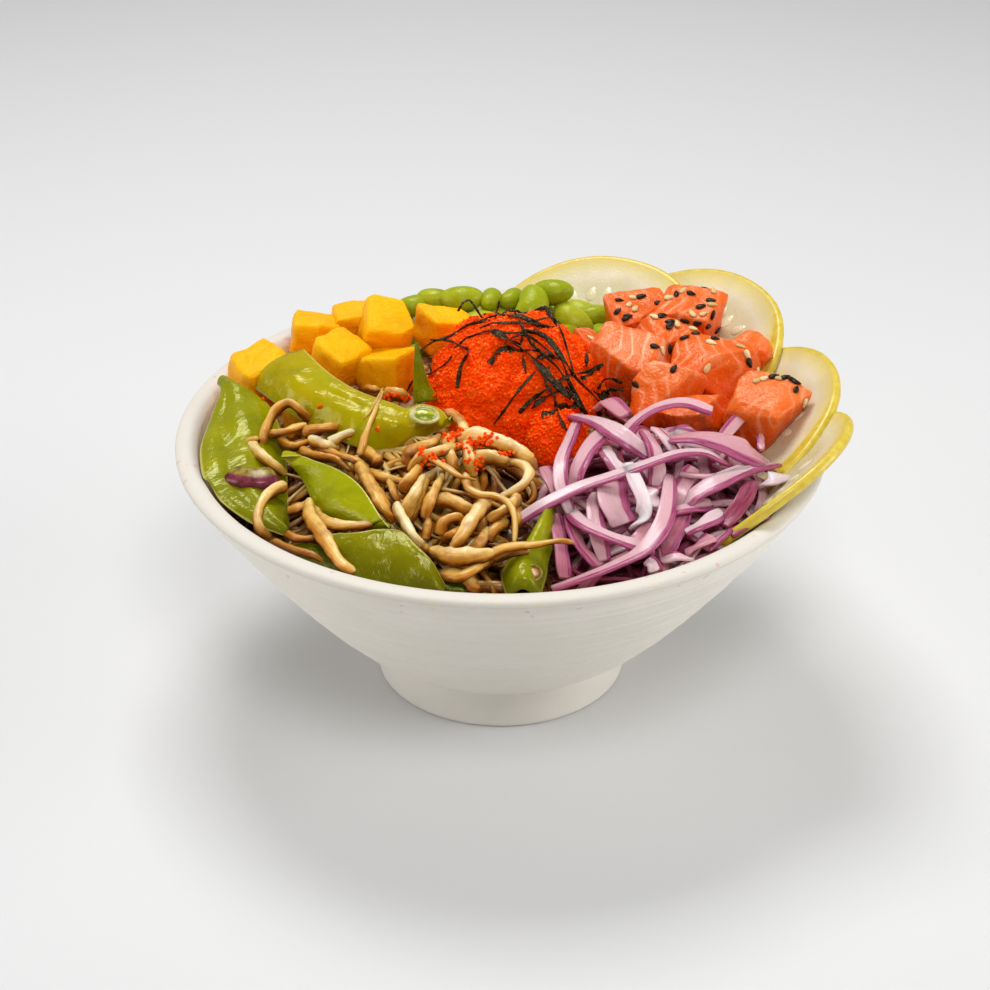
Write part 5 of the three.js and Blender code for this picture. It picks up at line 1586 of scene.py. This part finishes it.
u = np.linspace(0, 1, 30)
path = bent((-81, -28, 84), (-74, -33, 85.5), (-67, -31, 85), u)[None]
ends = np.sqrt(np.clip(1 - np.abs(2 * u - 1) ** 14, 0.1, 1))[None]
section = oval_section(16, 3.4)
rings = swept(path, section, 3.6 * ends, 2.2 * ends, math.radians(-20))
marks = shred_marks(rings, path, section, np.array([1]), np.array([0.3]))
wedge, place = new_finish("fried onion wedge", Specular_IOR_Level=0.4, Specular_Tint=(1, 0.85, 0.7, 1))
front = (place.mark("shred").split()[0] + place.noise(700, 2) * 0.3).step(0.2, 0.5)
top_side = place.noise(500, 3).ramp((0.35, "#6E5A18"), (0.65, "#A08A40"))
front_side = place.noise(400, 3).ramp((0.35, "#4E1018"), (0.65, "#86384C"))
dress(wedge, front.mix(top_side, front_side), place.noise(300, 2) * 0.2 + 0.15)
serve(ring_piece("onion_wedge_slice", rings, wedge, **marks), "onion", "onion_wedge")


def button(centre, facing, long, wide, dome):
    """An oval knob of half axes long and wide, and its marks (share of the radius, place along the wide, 0).

    On top a dome sqrt(1 - (q / 0.66)^2) stands in a raised ring exp(-((q - 0.88) / 0.1)^2). Below it is
    round."""
    q, turn = np.linspace(0.02, 1, 22)[:, None], np.linspace(0, 2 * np.pi, 40, endpoint=False)
    top = dome * np.sqrt(np.clip(1 - (q / 0.66) ** 2, 0, 1)) + 0.5 * np.exp(-(((q - 0.88) / 0.1) ** 2))
    rise = np.concatenate([top, -0.9 * np.sqrt(np.clip(1 - q[::-1] ** 2, 0, 1)) - 0.3]) + 0 * turn
    q = np.concatenate([q, q[::-1]]) + 0 * turn
    level = np.cross([0, 1, 0.3], facing)
    level /= np.linalg.norm(level)
    x, y = long * q * np.cos(turn), wide * q * np.sin(turn)
    spots = centre + x[..., None] * level + y[..., None] * np.cross(facing, level)
    return (spots + rise[..., None] * np.array(facing))[None], np.stack([q, y, 0 * q], axis=-1)[None]


# The second pod's cut end shows one pea in a pale skin, and the seventh ends in the scar of its stem.
cut_end, place = new_finish("cut pod end", Specular_IOR_Level=0.5)
reach, wide, _ = place.mark("pea").split()
pea = (wide * 2.4 + place.noise(300, 2) * 0.5).math("SINE").step(-0.6, 0.8).mix("#7C8A0A", "#B4B82C")
pale = place.noise(500, 2).ramp((0.3, "#A8A24C"), (0.7, "#DCD4A0"))
colour = reach.step(0.6, 0.74).mix(pea, pale)
dress(cut_end, colour, place.noise(300, 2) * 0.2 + 0.08, place.noise(500, 2), 0.0003)
rings, marks = button(at_height([(424.6, 415, 97.5)])[0], (0.1, -0.45, 0.89), 4.6, 3.2, 0.9)
serve(ring_piece("pod_cut_end", rings, cut_end, pea=marks), "pod")

scar, place = new_finish("pod stem scar", Specular_IOR_Level=0.6)
reach = place.mark("pea").split()[0] + place.noise(600, 3) * 0.5 - 0.25
colour = reach.ramp((0.1, "#E8D2A0"), (0.45, "#B87838"), (0.7, "#7C4A12"), (0.95, "#8C8A1C"))
dress(scar, colour, place.noise(300, 2) * 0.2 + 0.06, place.noise(700, 3), 0.0006)
rings, marks = button(at_height([(532.5, 573, 83)])[0], (0.05, -0.6, 0.8), 2.9, 2.6, 0.6)
serve(ring_piece("pod_stem_scar", rings, scar, pea=marks), "pod")

# The stray roe
#
# Eggs that fell off the scoop, singly and in small lumps, on the sprouts, the second pod and a soybean. Each
# row is a place in the view, its spread to the side and upward in pixels, and the number of eggs.
STRAYS = [
    (455, 434, 11, 8, 34), (470, 446, 10, 7, 26), (487, 440, 12, 5, 26), (476, 462, 10, 8, 20),
    (432, 458, 9, 9, 18), (420, 450, 6, 5, 8), (392, 395, 9, 4, 14), (405, 398, 6, 4, 8),
    (320, 407, 1.5, 1, 3), (378, 429, 1.5, 1.5, 4), (262, 396, 1, 1, 2), (505, 453, 8, 4, 10),
    (534, 318, 6, 7, 60), (590, 405, 5, 8, 40), (440, 395, 4, 6, 24),
]
draw = np.random.default_rng(43)
carriers = (
    "sprout_stems", "sprout_tangle", "pod_1", "pod_2", "pod_6", "soybeans", "roe_scoop", "onion_shreds",
    "salmon_dice_4",
)
carried = solid_tree([bpy.data.objects[name] for name in carriers])
hits = [
    landed(u + draw.normal(0, wide / 2), v + draw.normal(0, tall / 2), carried)
    for u, v, wide, tall, count in STRAYS
    for _ in range(count)
]
centres = np.array([hit[0] + 0.3 * hit[1] for hit in hits if hit])
strew_eggs("stray_roe", centres, 0.8, 1.1, 3, 6, draw)
